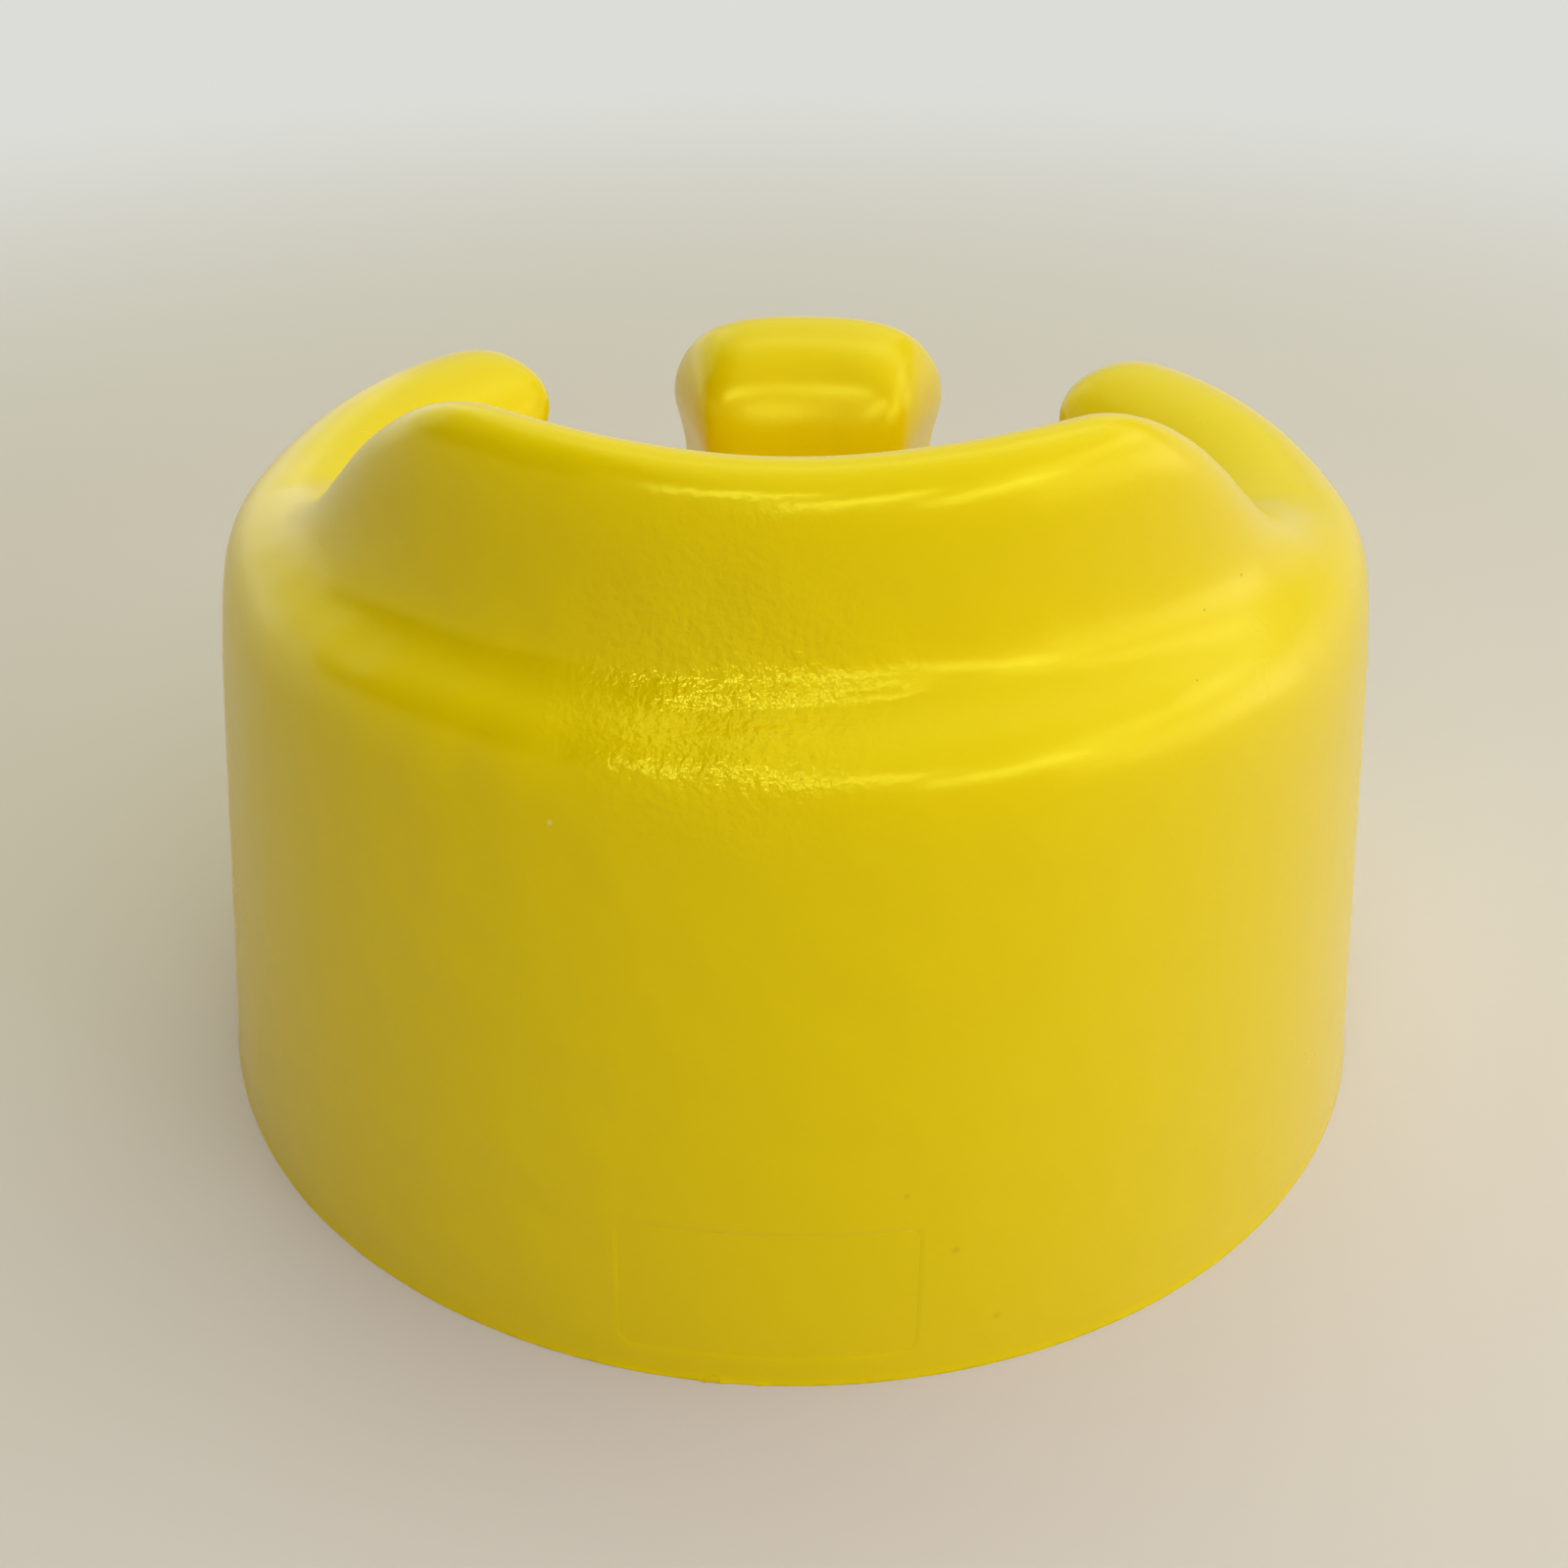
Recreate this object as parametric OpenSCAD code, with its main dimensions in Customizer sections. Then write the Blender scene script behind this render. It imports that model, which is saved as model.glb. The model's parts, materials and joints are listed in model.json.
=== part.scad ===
// Baby floor seat: a round foam moulding with a wrap-round backrest, two curled arms,
// two leg openings and a pommel between them. Millimetres. The origin is the centre of
// the foot on the floor, +Z is up, and the baby faces -Y.

/* [Body] */
// Diameter of the round foot
foot_diameter = 369; // [350:1:390]
// Lean of the outer wall from the vertical, in degrees
wall_draft = 6.8; // [5:0.1:9]

/* [Backrest] */
// Height of the crest at its two corners
back_height = 231; // [215:1:245]
// Drop of the crest between its corners
crest_dip = 3; // [0:0.5:5]
// Thickness of the crest
crest_thickness = 23; // [18:0.5:28]
// Radius of the crest's outer face
crest_radius = 136; // [132:1:140]
// Radius of the valley where the backrest's outer face starts
valley_radius = 141; // [139:1:144]
// Height of the shoulder's corner at the back
shoulder_height = 171; // [160:1:176]
// Rise of the ledge from the shoulder to the valley
ledge_rise = 11; // [7:0.5:14]
// Height over which the shoulder rounds into the wall
shoulder_round = 31; // [20:1:40]
// Half the angle of the full-height backrest, in degrees
back_half_angle = 34; // [28:1:40]
// Angle from the middle of the back to the lowest point of the side rims, in degrees
side_angle = 90; // [84:1:96]

/* [Arms] */
// Height of the rims at the sides, their lowest point
side_height = 173.5; // [162:0.5:176]
// Height of the arms at their front ends
arm_height = 177.5; // [172:0.5:184]
// Radius of the outer edge of the rims' crown
arm_radius = 152; // [149:0.5:155]
// Width of the rims' crown
arm_width = 39; // [34:0.5:43]
// Drop from the crown to the outer corner of the rims
outer_roll = 7; // [3:0.5:8]
// Drop from the crown to the inner corner of the rims
inner_roll = 14; // [8:0.5:15]
// Height over which a rim rounds into the wall
rim_round = 24; // [14:1:26]
// Angle from the middle of the back to the end of an arm, in degrees
arm_end_angle = 134; // [130:0.1:135]
// Roundness of the arm's end, seen from the side
arm_end_round = 15.5; // [14:0.5:26]
// Roundness of the outer corner of the arm's end, seen from above
arm_end_corner = 14; // [8:0.5:16]
// Roundness of the inner corner of the arm's end, seen from above
arm_inner_corner = 8; // [4:0.5:10]
// How far the arm's end stands over the leg opening
arm_overhang = 9.5; // [5:0.5:11]
// How far the leg opening is scooped out under the arm
arm_undercut = 14.5; // [6:0.5:15]

/* [Leg openings] */
// Angle from the middle of the back to the middle of a leg opening, in degrees
opening_angle = 147.5; // [146.5:0.1:148.5]
// Height of the floor of the leg openings
opening_floor = 100; // [92:1:108]
// Radius where the floor of a leg opening starts to fall to the seat pan
trough_radius = 146; // [140:1:150]
// Bend of the trough from level to steep
trough_bend = 2.8; // [2:0.1:3.5]

/* [Pommel] */
// Height of the pommel
pommel_height = 176; // [170:0.5:184]
// Width of the pommel between its side faces
pommel_width = 76.5; // [70:0.5:80]
// Radius of the pommel's middle line
pommel_radius = 132; // [128:1:136]
// Thickness of the pommel from front to back at its top
pommel_depth = 58; // [50:1:62]
// Roundness of the pommel's upper edge
pommel_round = 29; // [20:0.5:30]
// Roundness of the pommel's corners, seen from above
pommel_corner = 13; // [8:0.5:14]
// How far the pommel's head stands over its neck on each side
pommel_overhang = 8; // [6:0.5:12]
// How far the pommel's neck is drawn in on each side
pommel_undercut = 2; // [1:0.5:5]
// Radius of the pommel's foot inside the seat
pommel_root_radius = 100; // [97:0.5:102]

/* [Seat well] */
// Height of the seat pan
pan_height = 48; // [42:1:54]
// Radius of the level part of the pan
pan_flat_radius = 45; // [38:1:52]
// Radius of the pan's edge
pan_radius = 84; // [78:1:88]
// Rise from the pan to its edge
pan_rise = 10; // [6:0.5:14]

/* [Skin] */
// Thickness of the dense skin
skin_thickness = 3; // [2:0.25:4]
// Thickness of the skin under the foot
base_thickness = 3; // [2:0.25:4]
// How far the trimmed flash stands out at the foot
flash_width = 0.3; // [0.2:0.1:1]
// Thickness of the flash
flash_thickness = 0.8; // [0.5:0.1:1.2]
// Diameter of the filling mark under the foot
gate_diameter = 40; // [30:1:60]
// Depth of the filling mark
gate_depth = 0.8; // [0.4:0.1:1.2]

/* [Label] */
// Width of the blank label
label_width = 77; // [60:1:90]
// Height of the blank label
label_height = 40; // [30:1:50]
// Corner radius of the label
label_corner = 4; // [2:0.5:8]
// Height of the label's lower edge above the floor
label_lift = 8.5; // [6:0.5:20]
// Depth of the pocket that holds the label
pocket_depth = 0.5; // [0.4:0.1:1]
// Thickness of the label film
label_thickness = 0.35; // [0.2:0.05:0.4]
// Gap round the edge of the label
label_gap = 0.2; // [0.1:0.05:0.6]

/* [Hidden] */

// Numbers of stations along the back, at an arm's end and across half the pommel
BACK_STATIONS = 16;
ARM_STATIONS = 14;
POMMEL_STATIONS = 12;
// Rows from the foot up, over the rim and down to the middle of the pan
ROWS = 35;
// Spans between a section's control points, and how many of them lie on the straight wall
SPANS = 14;
WALL_SPANS = 3;

YELLOW = [0.93, 0.84, 0.05];
CREAM = [0.95, 0.9, 0.55];

// Drop of a leg opening's outer lip, and the fill at the pommel's foot
LIP_DROP = 0.36;
FOOT_FILL = 2;
// Angle over which an arm bends away from the side, and where a pull on it begins
ARM_RUN = 14;
PULL_START = 42;
// Height below which nothing stands out or is drawn in beside the leg openings
pull_low = pan_height + pan_rise;
// Heights above the openings' floor where the arms and the pommel are drawn in most
ARM_WAIST = 38;
POMMEL_WAIST = 13;
// Depths below their tops where they stand out most
ARM_BULGE = 3.5;
POMMEL_BULGE = 15;
// Angles from the middle of the back at which the stations fan out over the pan
FAN_ARM = 90;
FAN_OPENING = 135;

// ---- Small helpers ----

function mix(a, b, t) = a + (b - a) * t;
function unit_clamp(t) = min(max(t, 0), 1);
function ease(t) = let(c = unit_clamp(t)) c * c * (3 - 2 * c);
function wall_radius(z) = foot_diameter / 2 - z * tan(wall_draft);

// Point at t on a uniform cubic B-spline; the list holds one extra point at each end
function spline(points, t) =
    let(spans = len(points) - 3,
        x = unit_clamp(t) * spans,
        i = min(floor(x), spans - 1),
        f = x - i,
        g = 1 - f)
    (g * g * g * points[i]
        + (3 * f * f * f - 6 * f * f + 4) * points[i + 1]
        + (3 * g * g * g - 6 * g * g + 4) * points[i + 2]
        + f * f * f * points[i + 3]) / 6;

// ---- Cross-sections: radius and height from the foot to the middle of the pan ----

// Evenly spaced points up the wall, the last one where the rounding begins
function wall_points(top, count) =
    [for (i = [0 : count])
        let(z = mix(base_thickness, top, i / count))
        [wall_radius(z), z]];

pan_edge = [pan_radius, pan_height + pan_rise];

// Points from the inner edge of a rim down to the middle of the pan
function well_points(rim) =
    [mix(rim, pan_edge, 0.2), mix(rim, pan_edge, 0.6), pan_edge,
     [pan_flat_radius, pan_height], [0, pan_height]];

// Height of two level crown points that brings the crest itself to the given height
function crown_height(top, before, after) = (48 * top - before - after) / 46;

valley_height = shoulder_height + ledge_rise;
face_height = mix(valley_height, back_height, 0.46);
crest_inner_radius = crest_radius - crest_thickness;
inner_face = mix([crest_inner_radius, back_height], pan_edge, 0.2);

function back_section(height) =
    let(crown = crown_height(height, face_height, inner_face[1]),
        inner = [crest_inner_radius, crown])
    concat(
        wall_points(shoulder_height - shoulder_round, 3),
        [[wall_radius(shoulder_height), shoulder_height],
         [mix(wall_radius(shoulder_height), valley_radius, 0.6),
          mix(shoulder_height, valley_height, 0.45)],
         [valley_radius, valley_height],
         [mix(valley_radius, crest_radius, 0.6), face_height],
         [crest_radius, crown],
         inner],
        well_points([crest_inner_radius, back_height]));

function rim_section(height) =
    let(crown = height + outer_roll / 6,
        corner = crown - outer_roll)
    concat(
        wall_points(corner - rim_round, 4),
        [[wall_radius(corner), corner],
         [arm_radius, crown],
         [arm_radius - arm_width / 3, crown],
         [arm_radius - arm_width * 2 / 3, crown - inner_roll / 4],
         [arm_radius - arm_width, crown - inner_roll]],
        well_points([arm_radius - arm_width, crown - inner_roll]));

trough_edge = wall_radius(opening_floor) - trough_radius;

function opening_section() =
    concat(
        wall_points(opening_floor - rim_round, 4),
        [[wall_radius(opening_floor), opening_floor - LIP_DROP],
         [trough_radius + trough_edge / 2, opening_floor],
         [trough_radius, opening_floor]],
        [for (t = [0.25, 0.48, 0.67, 0.84, 1])
            [mix(trough_radius, pan_edge[0], t),
             mix(opening_floor, pan_edge[1], pow(t, trough_bend))]],
        [[pan_flat_radius, pan_height], [0, pan_height]]);

pommel_front = pommel_radius + pommel_depth / 2;
pommel_back = pommel_radius - pommel_depth / 2;

function pommel_section() =
    let(crown = pommel_height + pommel_round / 14,
        shoulder = pommel_height - pommel_round * 0.42)
    concat(
        wall_points(shoulder - pommel_round, 4),
        [[pommel_front - pommel_round / 8, shoulder],
         [pommel_radius + pommel_depth / 4, crown],
         [pommel_radius, crown],
         [mix(pommel_radius, pommel_back, 0.65), pommel_height - pommel_round / 8],
         [pommel_back, pommel_height - pommel_round * 0.8],
         [pommel_root_radius, mix(pommel_height, pan_edge[1], 0.3)],
         [pommel_root_radius, mix(pommel_height, pan_edge[1], 0.62)],
         pan_edge + [FOOT_FILL, FOOT_FILL],
         [pan_flat_radius, pan_height],
         [0, pan_height]]);

// ---- Stations round the seat: an angle from the middle of the back, and shares ----

// Rim line over an arm's end, from the arm down to the middle of the leg opening
function arm_line() =
    let(a = arm_end_angle,
        m = opening_angle,
        top = arm_height,
        low = opening_floor)
    [[a - ARM_RUN * 1.3, top], [a - ARM_RUN, top], [a - ARM_RUN * 0.72, top],
     [a - ARM_RUN * 0.43, top - arm_end_round * 0.04],
     [a - ARM_RUN * 0.14, top - arm_end_round * 0.3],
     [a - ARM_RUN * 0.01, top - arm_end_round * 0.86],
     [a, mix(top, low, 0.44)],
     [a + ARM_RUN * 0.02, mix(top, low, 0.7)],
     [a + ARM_RUN * 0.12, mix(top, low, 0.9)],
     [mix(a, m, 0.39), mix(top, low, 0.985)],
     [mix(a, m, 0.73), low], [m, low], [m + 4, low]];

// Rim line from the middle of the leg opening up to the middle of the pommel
pommel_half_angle = asin(pommel_width / 2 / pommel_radius);
function pommel_line() =
    let(a = 180 - pommel_half_angle,
        m = opening_angle,
        top = pommel_height,
        low = opening_floor)
    [[m - 4, low], [m, low], [mix(m, a, 0.25), low],
     [mix(m, a, 0.59), mix(low, top, 0.015)],
     [mix(m, a, 0.87), mix(low, top, 0.09)],
     [a - pommel_half_angle / 40, mix(low, top, 0.27)],
     [a, mix(low, top, 0.54)],
     [a, top - pommel_round],
     [mix(a, 180, 0.11), top - pommel_round * 0.42],
     [mix(a, 180, 0.34), top - pommel_round * 0.1],
     [mix(a, 180, 0.63), top - pommel_round * 0.01],
     [180, top], [180 + pommel_half_angle * 0.37, top - pommel_round * 0.01]];

arm_start = arm_end_angle - ARM_RUN;

// A station is [angle at the rim, angle at the pan, and the shares of the crest's dip and
// of the side, arm, opening and pommel sections]
function back_stations() =
    [for (i = [0 : BACK_STATIONS - 1])
        let(angle = arm_start * i / BACK_STATIONS)
        [angle, FAN_ARM * i / BACK_STATIONS,
         1 - ease(angle / (back_half_angle + 2)),
         ease((angle - back_half_angle) / (side_angle - 2 - back_half_angle)),
         ease((angle - side_angle - 2) / (arm_start - side_angle - 2)),
         0, 0]];
function arm_stations() =
    [for (i = [0 : ARM_STATIONS - 1])
        let(t = i / ARM_STATIONS,
            p = spline(arm_line(), t))
        [p[0], mix(FAN_ARM, FAN_OPENING, t), 0, 1, 1,
         (arm_height - p[1]) / (arm_height - opening_floor), 0]];
function pommel_stations() =
    [for (i = [0 : POMMEL_STATIONS])
        let(t = i / POMMEL_STATIONS,
            p = spline(pommel_line(), t))
        [p[0], mix(FAN_OPENING, 180, t), 0, 1, 1, 1,
         (p[1] - opening_floor) / (pommel_height - opening_floor)]];
half_stations = concat(back_stations(), arm_stations(), pommel_stations());

back_high = back_section(back_height);
back_low = back_section(back_height - crest_dip);
side_rim = rim_section(side_height);
arm_rim = rim_section(arm_height);
opening_rim = opening_section();
pommel_rim = pommel_section();

// Control points of the section at a station, with one extra point at each end
function station_section(station) =
    let(back = mix(back_high, back_low, station[2]),
        side = mix(back, side_rim, station[3]),
        arm = side + (arm_rim - side_rim) * station[4],
        opening = arm + (opening_rim - arm_rim) * station[5],
        full = opening + (pommel_rim - opening_rim) * station[6],
        last = len(full) - 1)
    concat([2 * full[0] - full[1]], full, [[-full[last - 1][0], full[last - 1][1]]]);

// ---- Overhang of the arm ends and the pommel's head over the leg openings ----

// Positive towards the opening: out at the bulge's height, drawn in at the waist's height
function pull_at(z, overhang, undercut, waist_z, bulge_z) =
    let(top = ease((z - waist_z) / (bulge_z - waist_z)),
        waist = ease((z - pull_low) / (waist_z - pull_low)))
    overhang * top - undercut * waist * (1 - top);

// How far a round corner falls back at a distance from the face beside it
function fall_back(distance, corner) =
    let(d = min(max(distance, 0), corner))
    corner - sqrt(corner * corner - (corner - d) * (corner - d));

// Fall back at both corners of an end that spans from the well to the outer wall
function end_rounding(r, z, inner, outer_corner, well_corner) =
    fall_back(wall_radius(z) - r, outer_corner) + fall_back(r - inner, well_corner);

// Radius of the well's wall under the rims
function well_radius(z) =
    mix(pan_radius, arm_radius - arm_width,
        unit_clamp((z - pan_edge[1]) / (arm_height - inner_roll - pan_edge[1])));

function side_shift(angle, r, z) =
    let(arm_back = mix(arm_end_angle, opening_angle, 0.42),
        arm = ease((angle - arm_end_angle + PULL_START) / (PULL_START - 5))
            * (1 - ease((angle - arm_back) / (opening_angle - arm_back))),
        pommel = ease((180 - angle) / (pommel_half_angle * 0.85))
            * ease((angle - opening_angle) / ((180 - pommel_half_angle - opening_angle) / 2)),
        arm_round = end_rounding(r, z, well_radius(z), arm_end_corner, arm_inner_corner),
        pommel_inner = min(pommel_root_radius, pommel_back),
        pommel_round_off = end_rounding(r, z, pommel_inner, pommel_corner, pommel_corner),
        scoop = mix(arm_undercut, arm_overhang / 2,
            ease((r - pommel_radius) / (wall_radius(z) - pommel_radius))))
    arm * (pull_at(z, arm_overhang, scoop, opening_floor + ARM_WAIST, arm_height - ARM_BULGE)
            - arm_round)
        - pommel * (pull_at(z, pommel_overhang, pommel_undercut,
                opening_floor + POMMEL_WAIST, pommel_height - POMMEL_BULGE)
            - pommel_round_off);

// Point in space of a section point at a station; the stations fan out over the pan
function place(station, p) =
    let(r = p[0],
        fan = ease((r - pan_flat_radius) / (pommel_root_radius - pan_flat_radius)),
        turn = fan * side_shift(station[0], r, p[1]) / max(r, pan_flat_radius) * 180 / PI,
        a = mix(station[1], station[0], fan) + turn)
    [r * sin(a), r * cos(a), p[1]];

// Place of a row along the section: few rows on the straight wall, the rest evenly spaced
function row_place(j) =
    (j <= WALL_SPANS ? j : mix(WALL_SPANS, SPANS, (j - WALL_SPANS) / (ROWS - 1 - WALL_SPANS)))
        / SPANS;

half_rings = [for (s = half_stations)
    let(section = station_section(s))
    [for (j = [0 : ROWS - 1]) place(s, spline(section, row_place(j)))]];

function mirrored(ring) = [for (p = ring) [-p[0], p[1], p[2]]];

last_half = len(half_rings) - 1;
rings = concat(half_rings, [for (i = [last_half - 1 : -1 : 1]) mirrored(half_rings[i])]);
ring_count = len(rings);

// ---- Surfaces ----

// Outward direction of the surface at a point of the grid
function normal_at(i, j) =
    j == ROWS - 1 ? [0, 0, 1] :
    let(ahead = rings[(i + 1) % ring_count][j] - rings[(i + ring_count - 1) % ring_count][j],
        up = rings[i][j + 1] - rings[i][max(j - 1, 0)],
        n = cross(up, ahead))
    n / norm(n);

// Point under the skin; the bottom row stays level with the base skin
function under_skin(i, j) =
    let(p = rings[i][j],
        n = normal_at(i, j))
    j == 0 ? p - skin_thickness * [n[0], n[1], 0] / norm([n[0], n[1]]) : p - skin_thickness * n;

// Points of a whole surface, column by column, with the middle of the pan last
outer_points = concat(
    [for (i = [0 : ring_count - 1]) for (j = [0 : ROWS - 2]) rings[i][j]],
    [rings[0][ROWS - 1]]);
core_points = concat(
    [for (i = [0 : ring_count - 1]) for (j = [0 : ROWS - 2]) under_skin(i, j)],
    [under_skin(0, ROWS - 1)]);

// Triangles of a surface whose points begin at start, wound clockwise from outside
function surface_faces(start) =
    let(span = ROWS - 1,
        pole = start + ring_count * span)
    [for (i = [0 : ring_count - 1])
        let(a = start + i * span, b = start + ((i + 1) % ring_count) * span)
        for (j = [0 : span - 1])
            each (j == span - 1
                ? [[a + j, b + j, pole]]
                : [[a + j, b + j + 1, a + j + 1],
                   [a + j, b + j, b + j + 1]])];

function flipped(faces) = [for (f = faces) [f[2], f[1], f[0]]];

// Triangles of the ring between the skin's lower outer and inner edges
function foot_faces(inner_start) =
    [for (i = [0 : ring_count - 1])
        let(o0 = i * (ROWS - 1),
            o1 = ((i + 1) % ring_count) * (ROWS - 1))
        each [[o0, inner_start + o0, o1], [o1, inner_start + o0, inner_start + o1]]];

// Prism through the back wall with the label's outline, less all that lies behind depth
module label_prism(inset, depth) {
    length = foot_diameter / 2;
    difference() {
        translate([0, length / 2, label_lift + label_height / 2])
            rotate([-90, 0, 0])
                linear_extrude(height = length)
                    label_outline(label_width - 2 * inset, label_height - 2 * inset,
                        label_corner - inset);
        wall_cone(depth);
    }
}

module label_outline(width, height, corner) {
    union() {
        square([width - 2 * corner, height], center = true);
        square([width, height - 2 * corner], center = true);
        for (x = [-1, 1], y = [-1, 1])
            translate([x * (width / 2 - corner), y * (height / 2 - corner)])
                circle(r = corner, $fn = 32);
    }
}

// Solid cone that lies the given depth inside the outer wall
module wall_cone(depth) {
    top = label_lift + label_height * 2;
    cylinder(h = top, r1 = wall_radius(0) - depth, r2 = wall_radius(top) - depth, $fn = 180);
}

// ---- Sub-parts ----

// Light cellular foam that fills the moulding
module foam_core() {
    color(CREAM)
        polyhedron(
            points = core_points,
            faces = concat(
                surface_faces(0),
                [[for (i = [ring_count - 1 : -1 : 0]) i * (ROWS - 1)]]));
}

// Dense closed skin over the wall, rims, backrest, well, leg openings and pommel
module seat_skin() {
    inner_start = len(outer_points);
    color(YELLOW)
        difference() {
            polyhedron(
                points = concat(outer_points, core_points),
                faces = concat(
                    surface_faces(0),
                    flipped(surface_faces(inner_start)),
                    foot_faces(inner_start)));
            label_prism(0, pocket_depth);
        }
}

// Flat skin under the foot, with the trimmed flash where the mould halves met
module base_skin() {
    top_radius = wall_radius(base_thickness);
    flash_radius = wall_radius(0) + flash_width;
    color(YELLOW)
        difference() {
            rotate_extrude($fn = 180)
                polygon([
                    [0, 0],
                    [flash_radius, 0],
                    [flash_radius, flash_thickness],
                    [wall_radius(flash_thickness), flash_thickness],
                    [top_radius, base_thickness],
                    [0, base_thickness]]);
            translate([0, 0, -gate_depth])
                cylinder(h = 2 * gate_depth, d = gate_diameter, $fn = 64);
        }
}

// Blank film that lies in the pocket low on the back
module rear_label() {
    color(YELLOW)
        intersection() {
            label_prism(label_gap, pocket_depth);
            wall_cone(pocket_depth - label_thickness);
        }
}

foam_core();
seat_skin();
base_skin();
rear_label();
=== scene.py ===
"""Looks of a baby floor seat: one soft foam moulding with a satin yellow skin.

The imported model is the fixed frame. The seat's skin, the skin under its foot and the blank
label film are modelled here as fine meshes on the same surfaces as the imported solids, with
the grain, waviness, flash and small blemishes of the real moulding. The foam core keeps its
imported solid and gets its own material. Sizes are in millimetres until a mesh is made.
"""

import json
import logging
import math
from dataclasses import dataclass, field
from enum import Enum
from typing import Any

import bpy
import numpy as np
from bpy.types import Material, NodeSocket, Object
from mathutils import Matrix, Quaternion, Vector
from numpy import ndarray as Array

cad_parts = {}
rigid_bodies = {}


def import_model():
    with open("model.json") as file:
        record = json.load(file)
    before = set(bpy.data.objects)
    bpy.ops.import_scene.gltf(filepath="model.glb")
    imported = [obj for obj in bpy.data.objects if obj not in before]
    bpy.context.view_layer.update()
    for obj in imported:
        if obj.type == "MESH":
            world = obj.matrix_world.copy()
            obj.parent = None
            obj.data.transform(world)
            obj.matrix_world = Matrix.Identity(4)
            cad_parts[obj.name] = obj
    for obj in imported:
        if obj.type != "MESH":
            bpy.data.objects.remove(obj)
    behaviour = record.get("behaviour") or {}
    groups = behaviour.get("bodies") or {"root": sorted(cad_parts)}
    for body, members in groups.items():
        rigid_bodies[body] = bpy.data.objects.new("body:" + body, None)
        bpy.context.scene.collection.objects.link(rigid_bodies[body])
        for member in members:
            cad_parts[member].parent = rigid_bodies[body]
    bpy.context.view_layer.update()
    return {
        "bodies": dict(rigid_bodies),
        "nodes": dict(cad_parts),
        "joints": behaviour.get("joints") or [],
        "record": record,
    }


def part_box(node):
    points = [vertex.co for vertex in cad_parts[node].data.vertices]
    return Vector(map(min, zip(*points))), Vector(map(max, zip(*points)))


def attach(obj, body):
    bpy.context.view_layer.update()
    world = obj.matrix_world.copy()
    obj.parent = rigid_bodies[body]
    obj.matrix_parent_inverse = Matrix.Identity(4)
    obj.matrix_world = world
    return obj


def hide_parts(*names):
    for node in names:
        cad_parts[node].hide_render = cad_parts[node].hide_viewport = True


LOG = logging.getLogger("seat")
MM = 0.001
ROOT = "root"
SPANS = 14  # curve spans in a section, from the foot to the middle of the pan


class Node(Enum):
    """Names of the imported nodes, which are also their material slots."""

    FOAM_CORE = "foam_core"
    SEAT_SKIN = "seat_skin"
    BASE_SKIN = "base_skin"
    REAR_LABEL = "rear_label"


# ---- Small maths ----


def mix(a: Any, b: Any, t: Any) -> Any:
    """Returns the value a share t of the way from a to b."""
    return a + (b - a) * t


def ease(t: Any) -> Any:
    """Returns a smooth step from 0 to 1 as t goes from 0 to 1."""
    c = np.clip(t, 0.0, 1.0)
    return c * c * (3 - 2 * c)


def spline_weights(count: int, t: Array) -> Array:
    """Weights of a uniform cubic B-spline's control points.

    Args:
        count: number of control points, with one extra at each end.
        t: places along the curve, from 0 to 1.

    Returns:
        One row of weights for each place.
    """
    x = np.clip(t, 0, 1) * (count - 3)
    i = np.minimum(np.floor(x).astype(int), count - 4)
    f = x - i
    g = 1 - f
    parts = (g**3, 3 * f**3 - 6 * f**2 + 4, 3 * g**3 - 6 * g**2 + 4, f**3)
    weights = np.zeros((len(x), count))
    for k, part in enumerate(parts):
        weights[np.arange(len(x)), i + k] = part / 6
    return weights


def steps(*stretches: tuple[float, float, int]) -> Array:
    """Joins evenly spaced stretches into one run of values.

    Args:
        stretches: for each stretch its start, its end and its number of steps.

    Returns:
        The values, with the last stretch's end included.
    """
    runs = [np.linspace(low, high, count, endpoint=False) for low, high, count in stretches]
    return np.concatenate(runs + [[stretches[-1][1]]])


@dataclass(frozen=True)
class Fade:
    """A share that turns smoothly from one value to another along a coordinate."""

    start: float
    run: float
    first: float
    last: float = 1.0

    def at(self, place: Array) -> Array:
        """Returns the share at a place on the coordinate."""
        return mix(self.first, self.last, ease((place - self.start) / self.run))


# ---- The seat's surface ----


@dataclass(frozen=True)
class Ripple:
    """Slow unevenness of the moulded surface, as a sum of waves of many directions."""

    shortest: float = 9.0
    longest: float = 28.0
    waves: int = 40
    depth: float = 0.04
    seed: int = 11

    def at(self, points: Array) -> Array:
        """Works out the height of the ripple.

        Args:
            points: places in millimetres, in an array of any shape.

        Returns:
            The height at each point, in millimetres.
        """
        rng = np.random.default_rng(self.seed)
        directions = rng.normal(size=(self.waves, 3))
        directions /= np.linalg.norm(directions, axis=1, keepdims=True)
        lengths = np.geomspace(self.shortest, self.longest, self.waves)
        phases = rng.uniform(0, 2 * math.pi, self.waves)
        total = np.zeros(points.shape[:-1])
        for direction, length, phase in zip(directions, lengths, phases):
            along = points @ direction
            total += length / self.longest * np.sin(2 * math.pi * along / length + phase)
        return self.depth * total


@dataclass(frozen=True)
class Crease:
    """The fold under the backrest, where the skin turns more sharply than beside it."""

    height: float = 179.3
    slant: float = -0.05
    half_height: float = 2.2
    from_x: float = -40.0
    to_x: float = 38.0
    fade: float = 16.0
    least_radius: float = 125.0
    depth: float = 1.3

    def at(self, points: Array) -> Array:
        """Works out how far the skin stands out at the fold.

        Args:
            points: places in millimetres, in an array of any shape.

        Returns:
            The height at each point, positive above the fold and negative below it.
        """
        x, y, z = (points[..., k] for k in range(3))
        along = ease((x - self.from_x) / self.fade) * ease((self.to_x - x) / self.fade)
        t = (z - self.height - self.slant * x) / self.half_height
        return np.where(y > self.least_radius, self.depth * along * t * np.exp(-(t**2)), 0)


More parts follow.
